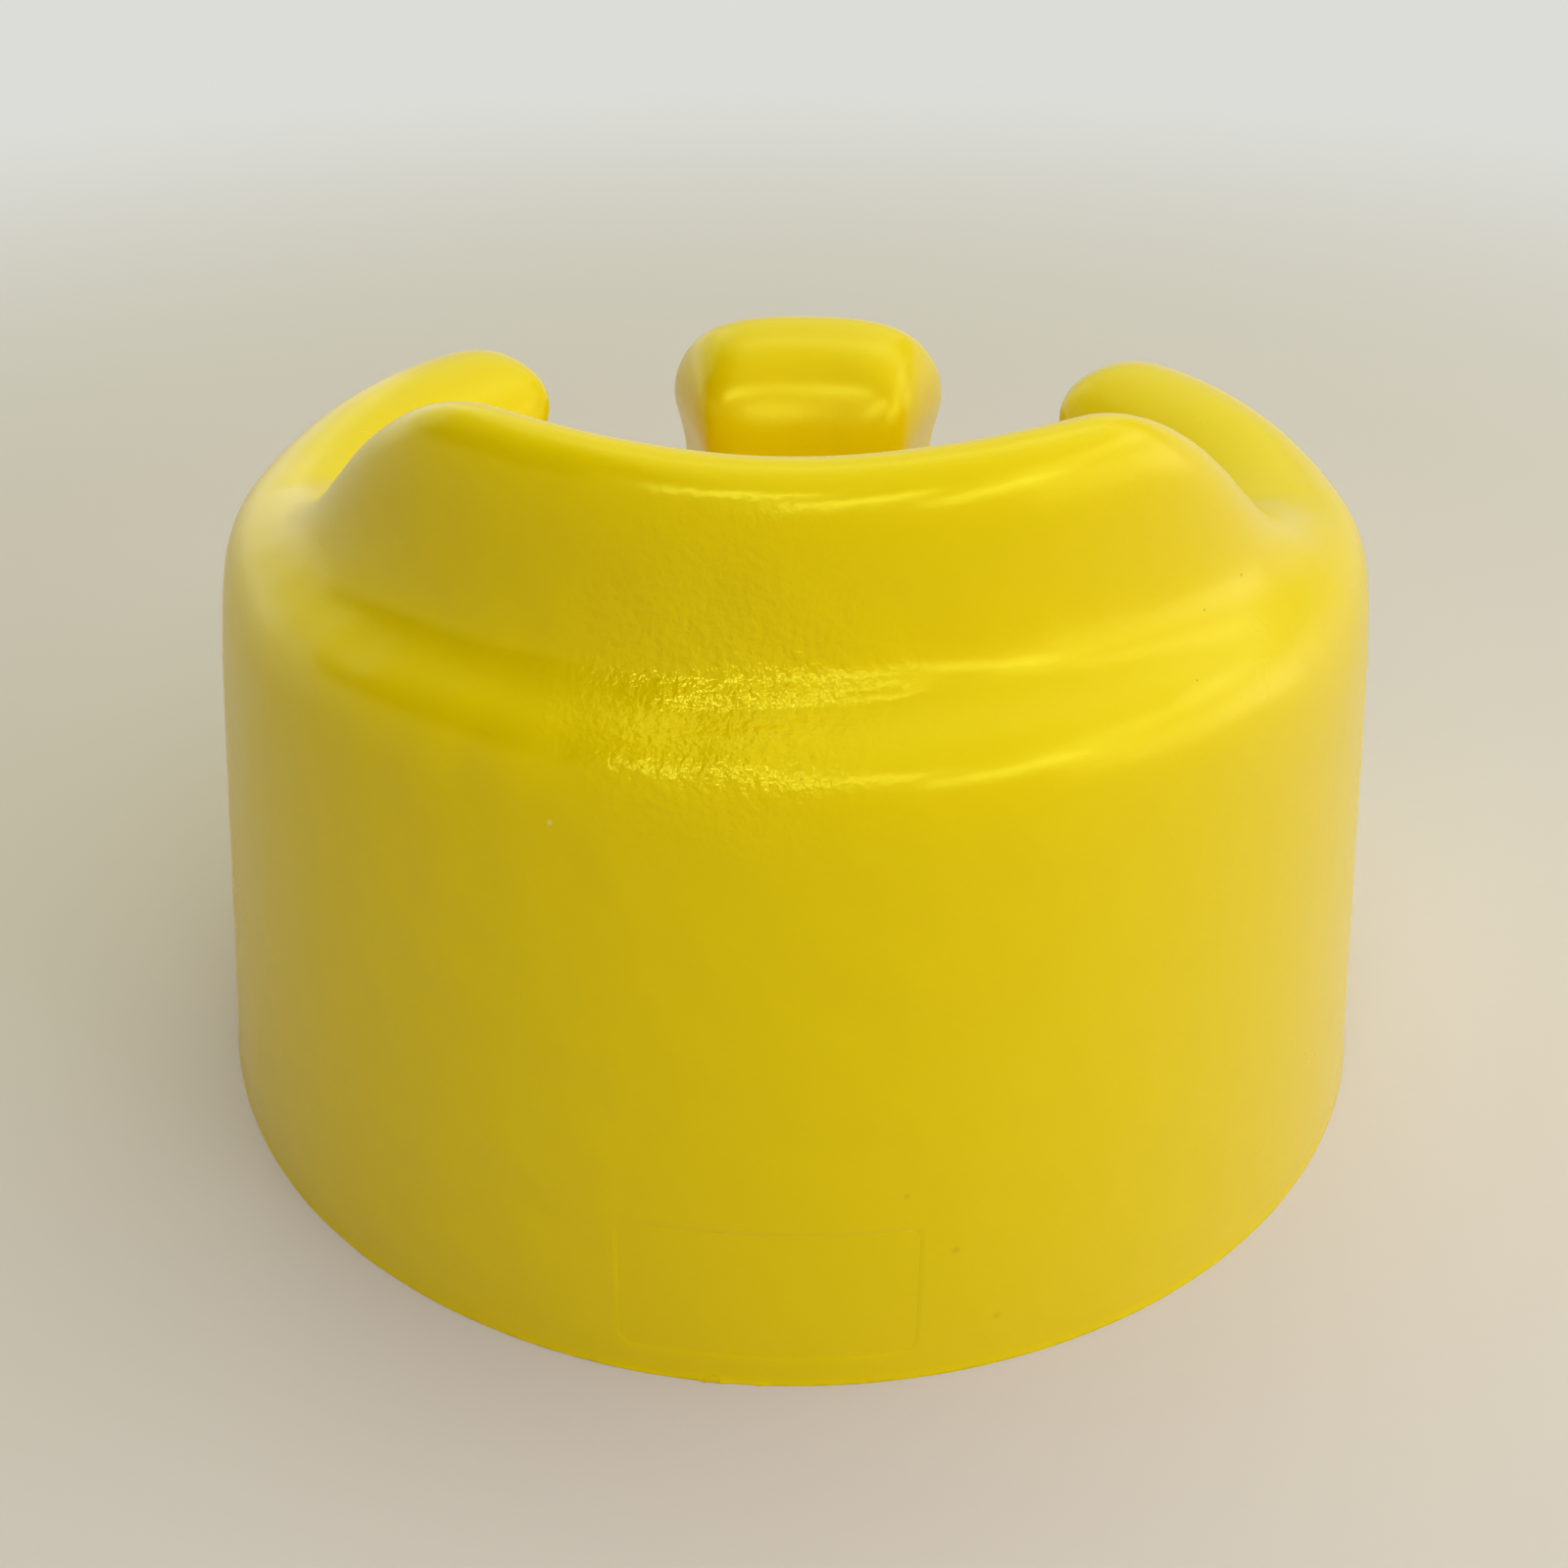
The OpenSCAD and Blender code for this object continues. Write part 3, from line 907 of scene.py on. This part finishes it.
@dataclass
class FootSkin:
    """Skin under the foot, with the thin trimmed flash where the mould halves met.

    Each wave of the flash has its share of the width, its count round the foot and its phase.
    """

    surface: SeatSurface
    flash_width: float = 0.3
    flash_mean: float = 0.78
    flash_thickness: float = 0.8
    waves: tuple = ((0.14, 9, 1), (0.08, 41, 0))
    gate_diameter: float = 40.0
    gate_depth: float = 0.8
    columns: int = 720
    sharp: float = 40.0
    burrs: tuple = (Burr(3.7, 0.5, 0.3), Burr(5.0, 0.4, 0.25), Burr(0.4, 0.5, 0.15))
    threads: tuple = (
        Thread(3.7, ((0.5, 0.8, 1.1), (-0.5, 1.0, 2.2), (0.7, 0.8, 3.1), (1.9, 0.6, 2.3))),
        Thread(4.3, ((-0.4, 0.9, 1.4), (0.6, 1.1, 2.4), (-0.8, 0.9, 2.9))),
        Thread(5.0, ((0.3, 0.7, 1.2), (-0.9, 0.9, 1.9), (-1.6, 0.7, 1.0))),
        Thread(0.5, ((0.4, 0.6, 0.9), (-0.5, 0.7, 1.2))),
    )

    def flash(self, angles: Array) -> Array:
        """Works out the flash's width, uneven as a knife leaves it.

        Args:
            angles: angles in degrees from the middle of the back.

        Returns:
            The width at each angle.
        """
        a = np.radians(angles)
        uneven = sum(amount * np.sin(count * a + phase) for amount, count, phase in self.waves)
        width = self.flash_width * (self.flash_mean + uneven)
        for burr in self.burrs:
            width = width + burr.reach * np.exp(-(((angles - burr.angle) / burr.width) ** 2))
        return width

    def build(self) -> Object:
        """Makes the foot's skin as a closed disc."""
        s = self.surface
        angles = np.linspace(-180, 180, self.columns, endpoint=False)
        a = np.radians(angles)
        foot = s.wall_radius(0)
        tip = foot + self.flash(angles)
        top = s.wall_radius(s.base_thickness)
        gate = self.gate_diameter / 2
        thick = self.flash_thickness
        profile = [
            (gate * 0.5, self.gate_depth),
            (gate - 0.7, self.gate_depth),
            (gate - 0.2, self.gate_depth * 0.75),
            (gate + 0.3, 0.08),
            (gate + 0.9, 0),
            (foot * 0.4, 0),
            (foot * 0.7, 0),
            (foot - 1.5, 0),
            (tip - 0.1, 0),
            (tip, thick * 0.15),
            (tip - 0.05, thick * 0.55),
            (mix(foot, tip, 0.3), thick * 0.95),
            (s.wall_radius(thick * 1.4) + 0.02, thick * 1.4),
            (top, s.base_thickness),
            (top - 1.5, s.base_thickness),
            (foot * 0.5, s.base_thickness),
        ]
        parts = MeshParts()
        points = [np.stack([r * np.sin(a), r * np.cos(a), z + 0 * a], axis=1) for r, z in profile]
        rings = parts.add(np.array(points))
        parts.bridge(rings)
        parts.fan(rings[0, ::-1], [0, 0, self.gate_depth])
        parts.fan(rings[-1], [0, 0, s.base_thickness])
        for thread in self.threads:
            thread.add_to(parts, s)
        return parts.build("foot_skin_disc", self.sharp)


@dataclass
class RearLabel:
    """Blank film that lies in the pocket low on the back."""

    surface: SeatSurface
    label: LabelPlace
    corner_points: int = 12
    spacing: float = 3.0
    edge_round: float = 0.05
    shares: tuple = (0.05, 0.96, 14)
    sharp: float = 60.0

    def outline(self, inset: float) -> Array:
        """Draws an outline inside the label's, anticlockwise from behind.

        Args:
            inset: its distance from the label's outline.

        Returns:
            Points across and up, from the label's middle.
        """
        place = self.label
        corner = place.corner - inset
        half = np.array([place.width, place.height]) / 2 - place.corner
        arcs = []
        for k, (sx, sz) in enumerate(((1, 1), (-1, 1), (-1, -1), (1, -1))):
            turn = np.radians(90 * k + np.linspace(0, 90, self.corner_points))
            arc = corner * np.stack([np.cos(turn), np.sin(turn)], axis=1)
            arcs.append(half * np.array([sx, sz]) + arc)
        points = []
        for k, arc in enumerate(arcs):
            count = round(2 * half[k % 2] / self.spacing)
            side = mix(arc[-1], arcs[(k + 1) % 4][0], np.linspace(0, 1, count + 1)[1:-1, None])
            points += [arc, side]
        whole = np.concatenate(points)
        whole[:, 0] *= -1
        return whole

    def on_wall(self, flat: Array, depth: float) -> Array:
        """Lays points on the outer wall.

        Args:
            flat: points across and up, from the label's middle.
            depth: how far they are drawn in.

        Returns:
            The points in space.
        """
        z = flat[:, 1] + self.label.lift + self.label.height / 2
        r = self.surface.wall_radius(z) - depth
        x = flat[:, 0]
        return np.stack([x, np.sqrt(r**2 - x**2), z], axis=1)

    def build(self) -> Object:
        """Makes the film as a closed thin sheet that follows the wall."""
        place = self.label
        edge = place.lip / 2 + self.edge_round
        top = self.outline(edge)
        foot = self.outline(edge + place.fall)
        shares = np.linspace(*self.shares)
        layers = [(foot * s, place.pocket_depth) for s in shares]
        layers += [(foot, place.pocket_depth), (top, place.recess + self.edge_round)]
        layers += [(self.outline(edge + self.edge_round * k), place.recess) for k in (1, 3)]
        layers += [(top * s, place.recess) for s in shares[::-1]]
        parts = MeshParts()
        rings = parts.add(np.array([self.on_wall(*layer) for layer in layers]))
        parts.bridge(rings[::-1])
        middle = np.zeros((1, 2))
        parts.fan(rings[0], self.on_wall(middle, place.pocket_depth)[0])
        parts.fan(rings[-1, ::-1], self.on_wall(middle, place.recess)[0])
        return parts.build("rear_label_film", self.sharp)


# ---- Shader expressions ----


class Value:
    """A number that varies over a surface; arithmetic on it adds Math nodes."""

    def __init__(self, shader: "Shader", socket: NodeSocket) -> None:
        """Wraps an output socket of one of the shader's nodes."""
        self.shader = shader
        self.socket = socket

    def math(self, operation: str, *others: Any) -> "Value":
        """Returns the result of a Math node whose first value is this one."""
        return self.shader.math(operation, self, *others)

    def __add__(self, other: Any) -> "Value":
        """Returns the sum."""
        return self.math("ADD", other)

    __radd__ = __add__

    def __sub__(self, other: Any) -> "Value":
        """Returns the difference."""
        return self.math("SUBTRACT", other)

    def __rsub__(self, other: Any) -> "Value":
        """Returns the other less this one."""
        return self.shader.math("SUBTRACT", other, self)

    def __mul__(self, other: Any) -> "Value":
        """Returns the product."""
        return self.math("MULTIPLY", other)

    __rmul__ = __mul__

    def most(self, other: Any) -> "Value":
        """Returns the greater of the two."""
        return self.math("MAXIMUM", other)

    def ramp(self, low: float, high: float) -> "Value":
        """Turns this number into a smooth step.

        Args:
            low: where the step is 0; it may be the greater.
            high: where the step is 1.

        Returns:
            The step, from 0 to 1.
        """
        inputs = {"Value": self, "From Min": low, "From Max": high}
        settings = {"interpolation_type": "SMOOTHSTEP"}
        made = self.shader.node("ShaderNodeMapRange", settings, inputs)
        return Value(self.shader, made.outputs["Result"])


class Shader:
    """The nodes of one material."""

    output: str = "ShaderNodeOutputMaterial"
    coordinates: str = "Object"

    def __init__(self, name: str) -> None:
        """Makes the owner of the nodes and adds the place on it.

        Args:
            name: the owner's name.
        """
        self.owner = self.new_owner(name)
        self.owner.use_nodes = True
        self.tree = self.owner.node_tree
        self.tree.nodes.clear()
        self.place = self.node("ShaderNodeTexCoord").outputs[self.coordinates]
        split = self.node("ShaderNodeSeparateXYZ", inputs={"Vector": self.place})
        self.x, self.y, self.z = (Value(self, split.outputs[k]) for k in "XYZ")

    def new_owner(self, name: str) -> Any:
        """Makes the material."""
        return bpy.data.materials.new(name)

    def node(
        self, kind: str, settings: dict | None = None, inputs: dict | None = None
    ) -> bpy.types.Node:
        """Adds a node.

        Args:
            kind: the node's type.
            settings: properties of the node, set before its sockets.
            inputs: for each socket's name or number, a number, a tuple or a link.

        Returns:
            The new node.
        """
        made = self.tree.nodes.new(kind)
        for name, value in (settings or {}).items():
            setattr(made, name, value)
        for name, value in (inputs or {}).items():
            socket = made.inputs[name]
            source = value.socket if isinstance(value, Value) else value
            if isinstance(source, NodeSocket):
                self.tree.links.new(source, socket)
            else:
                socket.default_value = source
        return made

    def math(self, operation: str, *values: Any) -> Value:
        """Returns the result of a Math node."""
        made = self.node("ShaderNodeMath", {"operation": operation}, dict(enumerate(values)))
        return Value(self, made.outputs[0])

    def noise(self, size: float, detail: float = 2.0) -> Value:
        """Adds soft noise.

        Args:
            size: size of its lumps, in metres.
            detail: how many finer layers it has.

        Returns:
            The noise, around 0.5.
        """
        inputs = {"Vector": self.place, "Scale": 1 / size, "Detail": detail, "Roughness": 0.5}
        made = self.node("ShaderNodeTexNoise", inputs=inputs)
        return Value(self, made.outputs[0])

    def pebbles(self, size: float) -> Value:
        """Adds close round pebbles.

        Args:
            size: their size, in metres.

        Returns:
            Their height, up to 1.
        """
        inputs = {"Vector": self.place, "Scale": 1 / size, "Smoothness": 0.7}
        made = self.node("ShaderNodeTexVoronoi", {"feature": "SMOOTH_F1"}, inputs)
        return 1 - Value(self, made.outputs["Distance"])

    def seen(self) -> Value:
        """Returns 1 where the eye, a reflection or a clear piece shows the surface, and 0 else."""
        rays = self.node("ShaderNodeLightPath").outputs
        eye, glossy, clear = (
            Value(self, rays[f"Is {kind} Ray"]) for kind in ("Camera", "Glossy", "Transmission")
        )
        return eye.most(glossy).most(clear)

    def dots(self, spacing: float, radius: float, share: float) -> Value:
        """Adds small round spots, strewn through space.

        Args:
            spacing: distance between the places where a spot may be, in metres.
            radius: radius of a spot, in metres.
            share: share of the places that have one.

        Returns:
            1 inside a spot and 0 outside.
        """
        inputs = {"Vector": self.place, "Scale": 1 / spacing}
        made = self.node("ShaderNodeTexVoronoi", inputs=inputs)
        chance = self.node("ShaderNodeSeparateColor", inputs={0: made.outputs["Color"]})
        chosen = Value(self, chance.outputs[0]).math("LESS_THAN", share)
        near = Value(self, made.outputs["Distance"]).ramp(radius / spacing, radius / spacing / 3)
        return near * chosen

    def measure(self, operation: str, other: Any) -> Value:
        """Adds a Vector Math node on the place and another vector.

        Args:
            operation: what the node works out.
            other: the other vector.

        Returns:
            The number that it gives.
        """
        inputs = {0: self.place, 1: other}
        made = self.node("ShaderNodeVectorMath", {"operation": operation}, inputs)
        return Value(self, made.outputs["Value"])

    def away(self, centre: Any) -> Value:
        """Returns the distance from a point, in metres."""
        return self.measure("DISTANCE", centre)

    def along(self, direction: tuple) -> Value:
        """Returns how far the place lies along a direction."""
        return self.measure("DOT_PRODUCT", direction)

    def blend(self, share: Value, a: Any, b: Any) -> NodeSocket:
        """Returns the colour a share of the way from a to b."""
        inputs = {"Factor": share, 6: a, 7: b}
        return self.node("ShaderNodeMix", {"data_type": "RGBA"}, inputs).outputs[2]

    def bump(self, height: Value) -> NodeSocket:
        """Returns a normal from a height in metres."""
        inputs = {"Height": height, "Strength": 1.0, "Distance": 1.0}
        return self.node("ShaderNodeBump", inputs=inputs).outputs["Normal"]

    def layer(self, share: Value, under: bpy.types.Node, over: bpy.types.Node) -> bpy.types.Node:
        """Returns a Mix Shader that lays a share of one shader over another."""
        inputs = {0: share, 1: under.outputs[0], 2: over.outputs[0]}
        return self.node("ShaderNodeMixShader", inputs=inputs)

    def show(self, surface: bpy.types.Node) -> None:
        """Puts a shader on the output."""
        self.node(self.output, inputs={"Surface": surface.outputs[0]})

    def finish(self, inputs: dict) -> Material:
        """Shows a Principled shader with these inputs and returns the material."""
        self.show(self.node("ShaderNodeBsdfPrincipled", inputs=inputs))
        return self.owner


class SkyShader(Shader):
    """The nodes of the world, whose places are directions from the seat."""

    output: str = "ShaderNodeOutputWorld"
    coordinates: str = "Generated"

    def new_owner(self, name: str) -> Any:
        """Makes the world."""
        return bpy.data.worlds.new(name)


# ---- Finishes ----


@dataclass(frozen=True)
class Speck:
    """A small blemish of the skin, with its radius in millimetres.

    Its angle is in degrees from the middle of the back, positive towards the baby's left. Its
    place goes from 0 at the foot to 1 in the pan, and its shade from 0 to 1.
    """

    angle: float
    place: float
    radius: float
    shade: float
    pale: bool = False


SPECKS = (
    Speck(-52.1, 0.4495, 0.45, 0.9),
    Speck(-44.9, 0.4240, 0.4, 0.9),
    Speck(-39.0, 0.3330, 0.35, 0.8),
    Speck(-11.0, 0.0865, 0.8, 0.3),
    Speck(-3.9, 0.0665, 0.8, 0.25),
    Speck(-15.1, 0.0570, 1.3, 0.3),
    Speck(-18.7, 0.0200, 1.4, 0.22),
    Speck(17.5, 0.2490, 0.8, 0.35, pale=True),
)


@dataclass(frozen=True)
class SkinFinish:
    """Satin yellow skin of self-skinning foam, with the grain that the mould leaves.

    Sizes, depths, reaches and places are in metres, and the rest are shares.
    """

    name: str = "satin_yellow_skin"
    colour: tuple = (0.820, 0.597, 0.0003, 1)
    deep_colour: tuple = (0.790, 0.556, 0.0003, 1)
    # Dark colour of the specks, also used for the painted contact shadow along the foot's lowest
    # edge
    speck_and_contact_shade_colour: tuple = (0.22, 0.15, 0.01, 1)
    pale_colour: tuple = (0.9, 0.86, 0.5, 1)
    specular: float = 0.85
    specular_tint: tuple = (0.94, 1.0, 0.09, 1)
    # Gloss
    roughness: float = 0.25
    uneven_gloss: float = 0.1
    gloss_patch: float = 0.03
    polish: float = 0.15
    polish_reach: tuple = (0.036, 0.006)
    # Orange peel, strongest near its centre, and the mould's grain
    peel_centre: tuple = (0.012, 0.142, 0.181)
    peel_reach: tuple = (0.053, 0.012)
    peel_everywhere: float = 0.08
    peel_size: float = 0.002
    peel_depth: float = 0.0007
    pebble_size: float = 0.0032
    pebble_share: float = 0.25
    grain_size: float = 0.0009
    grain_depth: float = 0.00002
    relief: float = 1.0
    # Slow changes of the peel and of the colour
    patch_size: float = 0.05
    patch_least: float = 0.6
    patch_swing: float = 0.8
    cloud_size: float = 0.012
    cloud_amount: float = 0.2
    mottle_amount: float = 0.3
    mottle_mean: float = 0.35
    # Pits, and dirt with painted contact shadow along the foot's lowest edge
    pit_spacing: float = 0.021
    pit_radius: float = 0.0004
    pit_share: float = 0.12
    pit_shade: float = 0.4
    pit_depth: float = 0.00008
    mark_shade: float = 0.75
    speck_edge: tuple = (1.3, 0.2)
    dirt_and_contact_shade_height: float = 0.0012
    dirt_and_contact_shade_size: float = 0.006
    dirt_and_contact_shade_ramp: tuple = (0.4, 0.62)
    dirt_and_contact_shade_amount: float = 0.2

    def marks(self, s: Shader, specks: list) -> tuple[Value, Value | None]:
        """Adds the skin's small marks.

        Args:
            s: the material's nodes.
            specks: for each blemish, its point on the surface and its speck.

        Returns:
            The dark marks, with small pits among them, and the pale spot if there is one.
        """
        marks = s.dots(self.pit_spacing, self.pit_radius, self.pit_share) * self.pit_shade
        pale = None
        for point, speck in specks:
            edge = [speck.radius * MM * share for share in self.speck_edge]
            spot = s.away(point).ramp(*edge) * speck.shade
            if speck.pale:
                pale = spot
            else:
                marks = marks.most(spot)
        return marks, pale

    def relief_height(self, s: Shader, away: Value, patches: Value, marks: Value) -> Value:
        """Adds the relief of the peel, the grain and the marks.

        Args:
            s: the material's nodes.
            away: distance from the peel's centre.
            patches: slow noise.
            marks: the dark marks.

        Returns:
            The height, in metres.
        """
        near = away.ramp(*self.peel_reach) * (1 - self.peel_everywhere) + self.peel_everywhere
        pebbles = s.pebbles(self.pebble_size) * self.pebble_share
        peel = s.noise(self.peel_size) * (1 - self.pebble_share) + pebbles
        uneven = patches * self.patch_swing + self.patch_least
        height = peel * (near * self.relief) * uneven * self.peel_depth
        return height + s.noise(self.grain_size, 1.0) * self.grain_depth - marks * self.pit_depth

    def make(self, specks: list) -> Material:
        """Makes the material.

        Args:
            specks: for each blemish, its point on the surface and its speck.

        Returns:
            The material, which reads its place from the object's coordinates.
        """
        s = Shader(self.name)
        away = s.away(self.peel_centre)
        patches = s.noise(self.patch_size)
        clouds = (s.noise(self.cloud_size) - 0.5) * self.cloud_amount
        mottle = (patches - 0.5) * self.mottle_amount + clouds + self.mottle_mean
        marks, pale = self.marks(s, specks)
        # Dirt and painted contact shadow: the colour darkens within 1.2 mm of the floor
        dirt_and_contact_shade = s.noise(self.dirt_and_contact_shade_size, 3).ramp(*self.dirt_and_contact_shade_ramp) * self.dirt_and_contact_shade_amount
        dirt_and_contact_shade = s.z.ramp(self.dirt_and_contact_shade_height, 0.0) * dirt_and_contact_shade
        colour = s.blend(mottle.ramp(0, 1), self.colour, self.deep_colour)
        colour = s.blend((marks * self.mark_shade).most(dirt_and_contact_shade), colour, self.speck_and_contact_shade_colour)
        if pale is not None:
            colour = s.blend(pale, colour, self.pale_colour)
        uneven = (s.noise(self.gloss_patch, 3) - 0.5) * self.uneven_gloss
        polished = away.ramp(*self.polish_reach) * self.polish
        inputs = {
            "Base Color": colour,
            "Roughness": self.roughness - polished + uneven,
            "Specular IOR Level": self.specular,
            "Specular Tint": self.specular_tint,
            "Normal": s.bump(self.relief_height(s, away, patches, marks)),
        }
        return s.finish(inputs)


@dataclass(frozen=True)
class CoreFinish:
    """Pale cellular foam as it looks where the skin is cut open, with painted shade in the grooves
    between its cells.
    """

    name: str = "cellular_foam"
    colour: tuple = (0.80, 0.68, 0.25, 1)
    groove_shade_colour: tuple = (0.62, 0.48, 0.12, 1)
    cell_size: float = 0.0011
    groove_shade_ramp: tuple = (0.35, 0.9)
    cell_depth: float = 0.0003
    lump_size: float = 0.004
    lump_depth: float = 0.0002
    roughness: float = 0.9

    def make(self) -> Material:
        """Makes the material."""
        s = Shader(self.name)
        cells = s.pebbles(self.cell_size)
        # Painted shade: the colour darkens in the low grooves between the raised cells
        colour = s.blend(cells.ramp(*self.groove_shade_ramp), self.groove_shade_colour, self.colour)
        height = cells * self.cell_depth + s.noise(self.lump_size, 3) * self.lump_depth
        inputs = {"Base Color": colour, "Roughness": self.roughness, "Normal": s.bump(height)}
        return s.finish(inputs)


# ---- Studio ----


@dataclass(frozen=True)
class Eye:
    """The camera, as the photograph was taken; lengths in millimetres, angles in degrees."""

    place: tuple = (-14.0, 484.7, 370.9)
    heading: float = 1.99
    pitch: float = 32.095
    roll: float = -0.352
    focal_pixels: float = 1792.7
    frame_pixels: float = 1600.0
    sensor: float = 36.0

    def build(self) -> None:
        """Makes the camera, which looks from behind the seat towards its front."""
        data = bpy.data.cameras.new("camera")
        data.sensor_fit = "HORIZONTAL"
        data.sensor_width = self.sensor
        data.lens = self.sensor * self.focal_pixels / self.frame_pixels
        data.clip_start = 0.01
        placed = Matrix.Translation(Vector(self.place) * MM)
        for turn, axis in ((180 + self.heading, "Z"), (90 - self.pitch, "X"), (-self.roll, "Z")):
            placed = placed @ Matrix.Rotation(math.radians(turn), 4, axis)
        camera = put("camera", data)
        camera.matrix_world = placed
        bpy.context.scene.camera = camera


@dataclass(frozen=True)
class Lamp:
    """A soft rectangular lamp that points at the seat; lengths in metres, roll in degrees."""

    name: str
    place: tuple
    width: float
    height: float
    power: float
    roll: float = 0.0
    colour: tuple = (1.0, 1.0, 1.0)
    target: tuple = (0.0, 0.0, 0.18)

    def build(self) -> None:
        """Makes the lamp."""
        data = bpy.data.lights.new(self.name, "AREA")
        data.shape = "RECTANGLE"
        data.size, data.size_y = self.width, self.height
        data.energy = self.power
        data.color = self.colour
        lamp = put(self.name, data)
        lamp.location = self.place
        aim = Vector(self.target) - Vector(self.place)
        turned = aim.to_track_quat("-Z", "Y") @ Quaternion((0, 0, 1), math.radians(self.roll))
        lamp.rotation_euler = turned.to_euler()


@dataclass
class Studio:
    """Plain pale floor and plain soft light."""

    floor_colour: tuple = (0.66, 0.59, 0.63, 1)
    floor_roughness: float = 0.7
    floor_fade: tuple = (0.45, 1.6)
    floor_size: float = 12.0
    far_colour: tuple = (0.72, 0.725, 0.69, 1)
    sky_colour: tuple = (0.82, 0.88, 0.16, 1)
    sky_least: float = 0.02
    sky_glow: float = 0.75
    bright_side: tuple = (0.0, -0.866, 0.5)
    glow_ramp: tuple = (0.2, 1.0)
    backdrop_fade: tuple = (0.36, 0.22)
    backdrop_rise: float = 0.3
    lamps: tuple = (
        Lamp("left_pane", (0.354, 1.419, 1.514), 1.0, 0.2, 6.2, 18.0),
        Lamp("middle_pane", (-0.410, 1.646, 1.210), 1.0, 0.2, 5.4, 18.0),
        Lamp("right_pane", (-1.241, 1.378, 0.899), 1.0, 0.2, 4.1, 18.0),
        Lamp("side_window", (-2.009, 0.354, 0.974), 2.6, 1.7, 17.5),
        Lamp("wide_ceiling", (-0.950, 0.000, 2.500), 4.0, 4.0, 45.0, 0.0, (0.94, 1.0, 0.95)),
        Lamp("front_fill", (0.0, -1.556, 1.706), 2.0, 2.0, 5.0),
        Lamp("far_fill", (1.46, -1.46, 0.90), 2.0, 1.5, 5.0),
    )

    def build(self) -> None:
        """Makes the floor, the lamps and the sky, and sets the view transform."""
        self.build_floor()
        for lamp in self.lamps:
            lamp.build()
        self.build_sky()
        bpy.context.scene.view_settings.view_transform = "Standard"

    def build_floor(self) -> None:
        """Makes the floor."""
        half = self.floor_size / 2
        mesh = bpy.data.meshes.new("floor")
        corners = [(-half, -half, 0), (half, -half, 0), (half, half, 0), (-half, half, 0)]
        mesh.from_pydata(corners, [], [range(4)])
        mesh.materials.append(self.floor_finish())
        floor = put("floor", mesh)

    def floor_finish(self) -> Material:
        """Makes the pale floor, which turns to an even white where it is far from the seat."""
        s = Shader("pale_floor")
        share = s.seen() * s.away((0.0, 0.0, 0.0)).ramp(*self.floor_fade)
        inputs = {"Base Color": self.floor_colour, "Roughness": self.floor_roughness}
        near = s.node("ShaderNodeBsdfPrincipled", inputs=inputs)
        far = s.node("ShaderNodeEmission", inputs={"Color": self.far_colour})
        s.show(s.layer(share, near, far))
        return s.owner

    def build_sky(self) -> None:
        """Makes the light from all round, brighter on the front side, and the pale backdrop."""
        s = SkyShader("soft_sky")
        glow = s.along(self.bright_side).ramp(*self.glow_ramp) * self.sky_glow
        low = (s.z - s.y.most(0.0) * self.backdrop_rise).ramp(*self.backdrop_fade)
        inputs = {"Color": self.sky_colour, "Strength": glow + self.sky_least}
        sky = s.node("ShaderNodeBackground", inputs=inputs)
        backdrop = s.node("ShaderNodeBackground", inputs={"Color": self.far_colour})
        s.show(s.layer(s.seen() * low, sky, backdrop))
        bpy.context.scene.world = s.owner


# ---- The whole seat ----


class FloorSeat:
    """Puts the seat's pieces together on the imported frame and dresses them."""

    def __init__(self, frame: dict) -> None:
        """Keeps the frame's nodes and the sizes that the pieces share.

        Args:
            frame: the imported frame, as it was loaded.
        """
        self.nodes = frame["nodes"]
        self.surface = SeatSurface()
        self.label = LabelPlace()

    def point_of(self, speck: Speck) -> Vector:
        """Finds a speck's place on the seat's surface.

        Args:
            speck: the blemish.

        Returns:
            The place, in metres.
        """
        station = self.surface.back_stations(np.array([abs(speck.angle)]))
        x, y, z = self.surface.points(station, np.array([speck.place]))[0, 0]
        return Vector((math.copysign(x, speck.angle), y, z)) * MM

    def place(self, piece: Object, node: Node, finish: Material) -> None:
        """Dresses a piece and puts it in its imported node's place.

        Args:
            piece: the new mesh.
            node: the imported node.
            finish: the piece's material.
        """
        piece.data.materials.append(finish)
        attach(piece, ROOT)
        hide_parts(node.value)
        low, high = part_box(node.value)
        corners = np.array([v.co for v in piece.data.vertices])
        off = max(np.abs(corners.min(0) - low).max(), np.abs(corners.max(0) - high).max())
        faces = len(piece.data.polygons)
        LOG.info("%s: %d faces, %.2f mm off its node", piece.name, faces, off / MM)

    def build(self) -> None:
        """Makes and dresses every piece."""
        specks = [(self.point_of(speck), speck) for speck in SPECKS]
        skin_finish = SkinFinish().make(specks)
        skin = SeatSkin(self.surface, self.label).build()
        self.place(skin, Node.SEAT_SKIN, skin_finish)
        foot = FootSkin(self.surface).build()
        self.place(foot, Node.BASE_SKIN, skin_finish)
        film = RearLabel(self.surface, self.label).build()
        film_finish = SkinFinish(name="label_film", relief=0.5).make([])
        self.place(film, Node.REAR_LABEL, film_finish)
        core = self.nodes[Node.FOAM_CORE.value]
        core.data.materials.clear()
        core.data.materials.append(CoreFinish().make())
        LOG.info("%s: packed solid, new finish", core.name)


def main() -> None:
    """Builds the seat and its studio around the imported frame."""
    logging.basicConfig(level=logging.INFO, format="%(name)s %(message)s")
    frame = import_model()
    Eye().build()
    Studio().build()
    FloorSeat(frame).build()


if __name__ == "__main__":
    main()
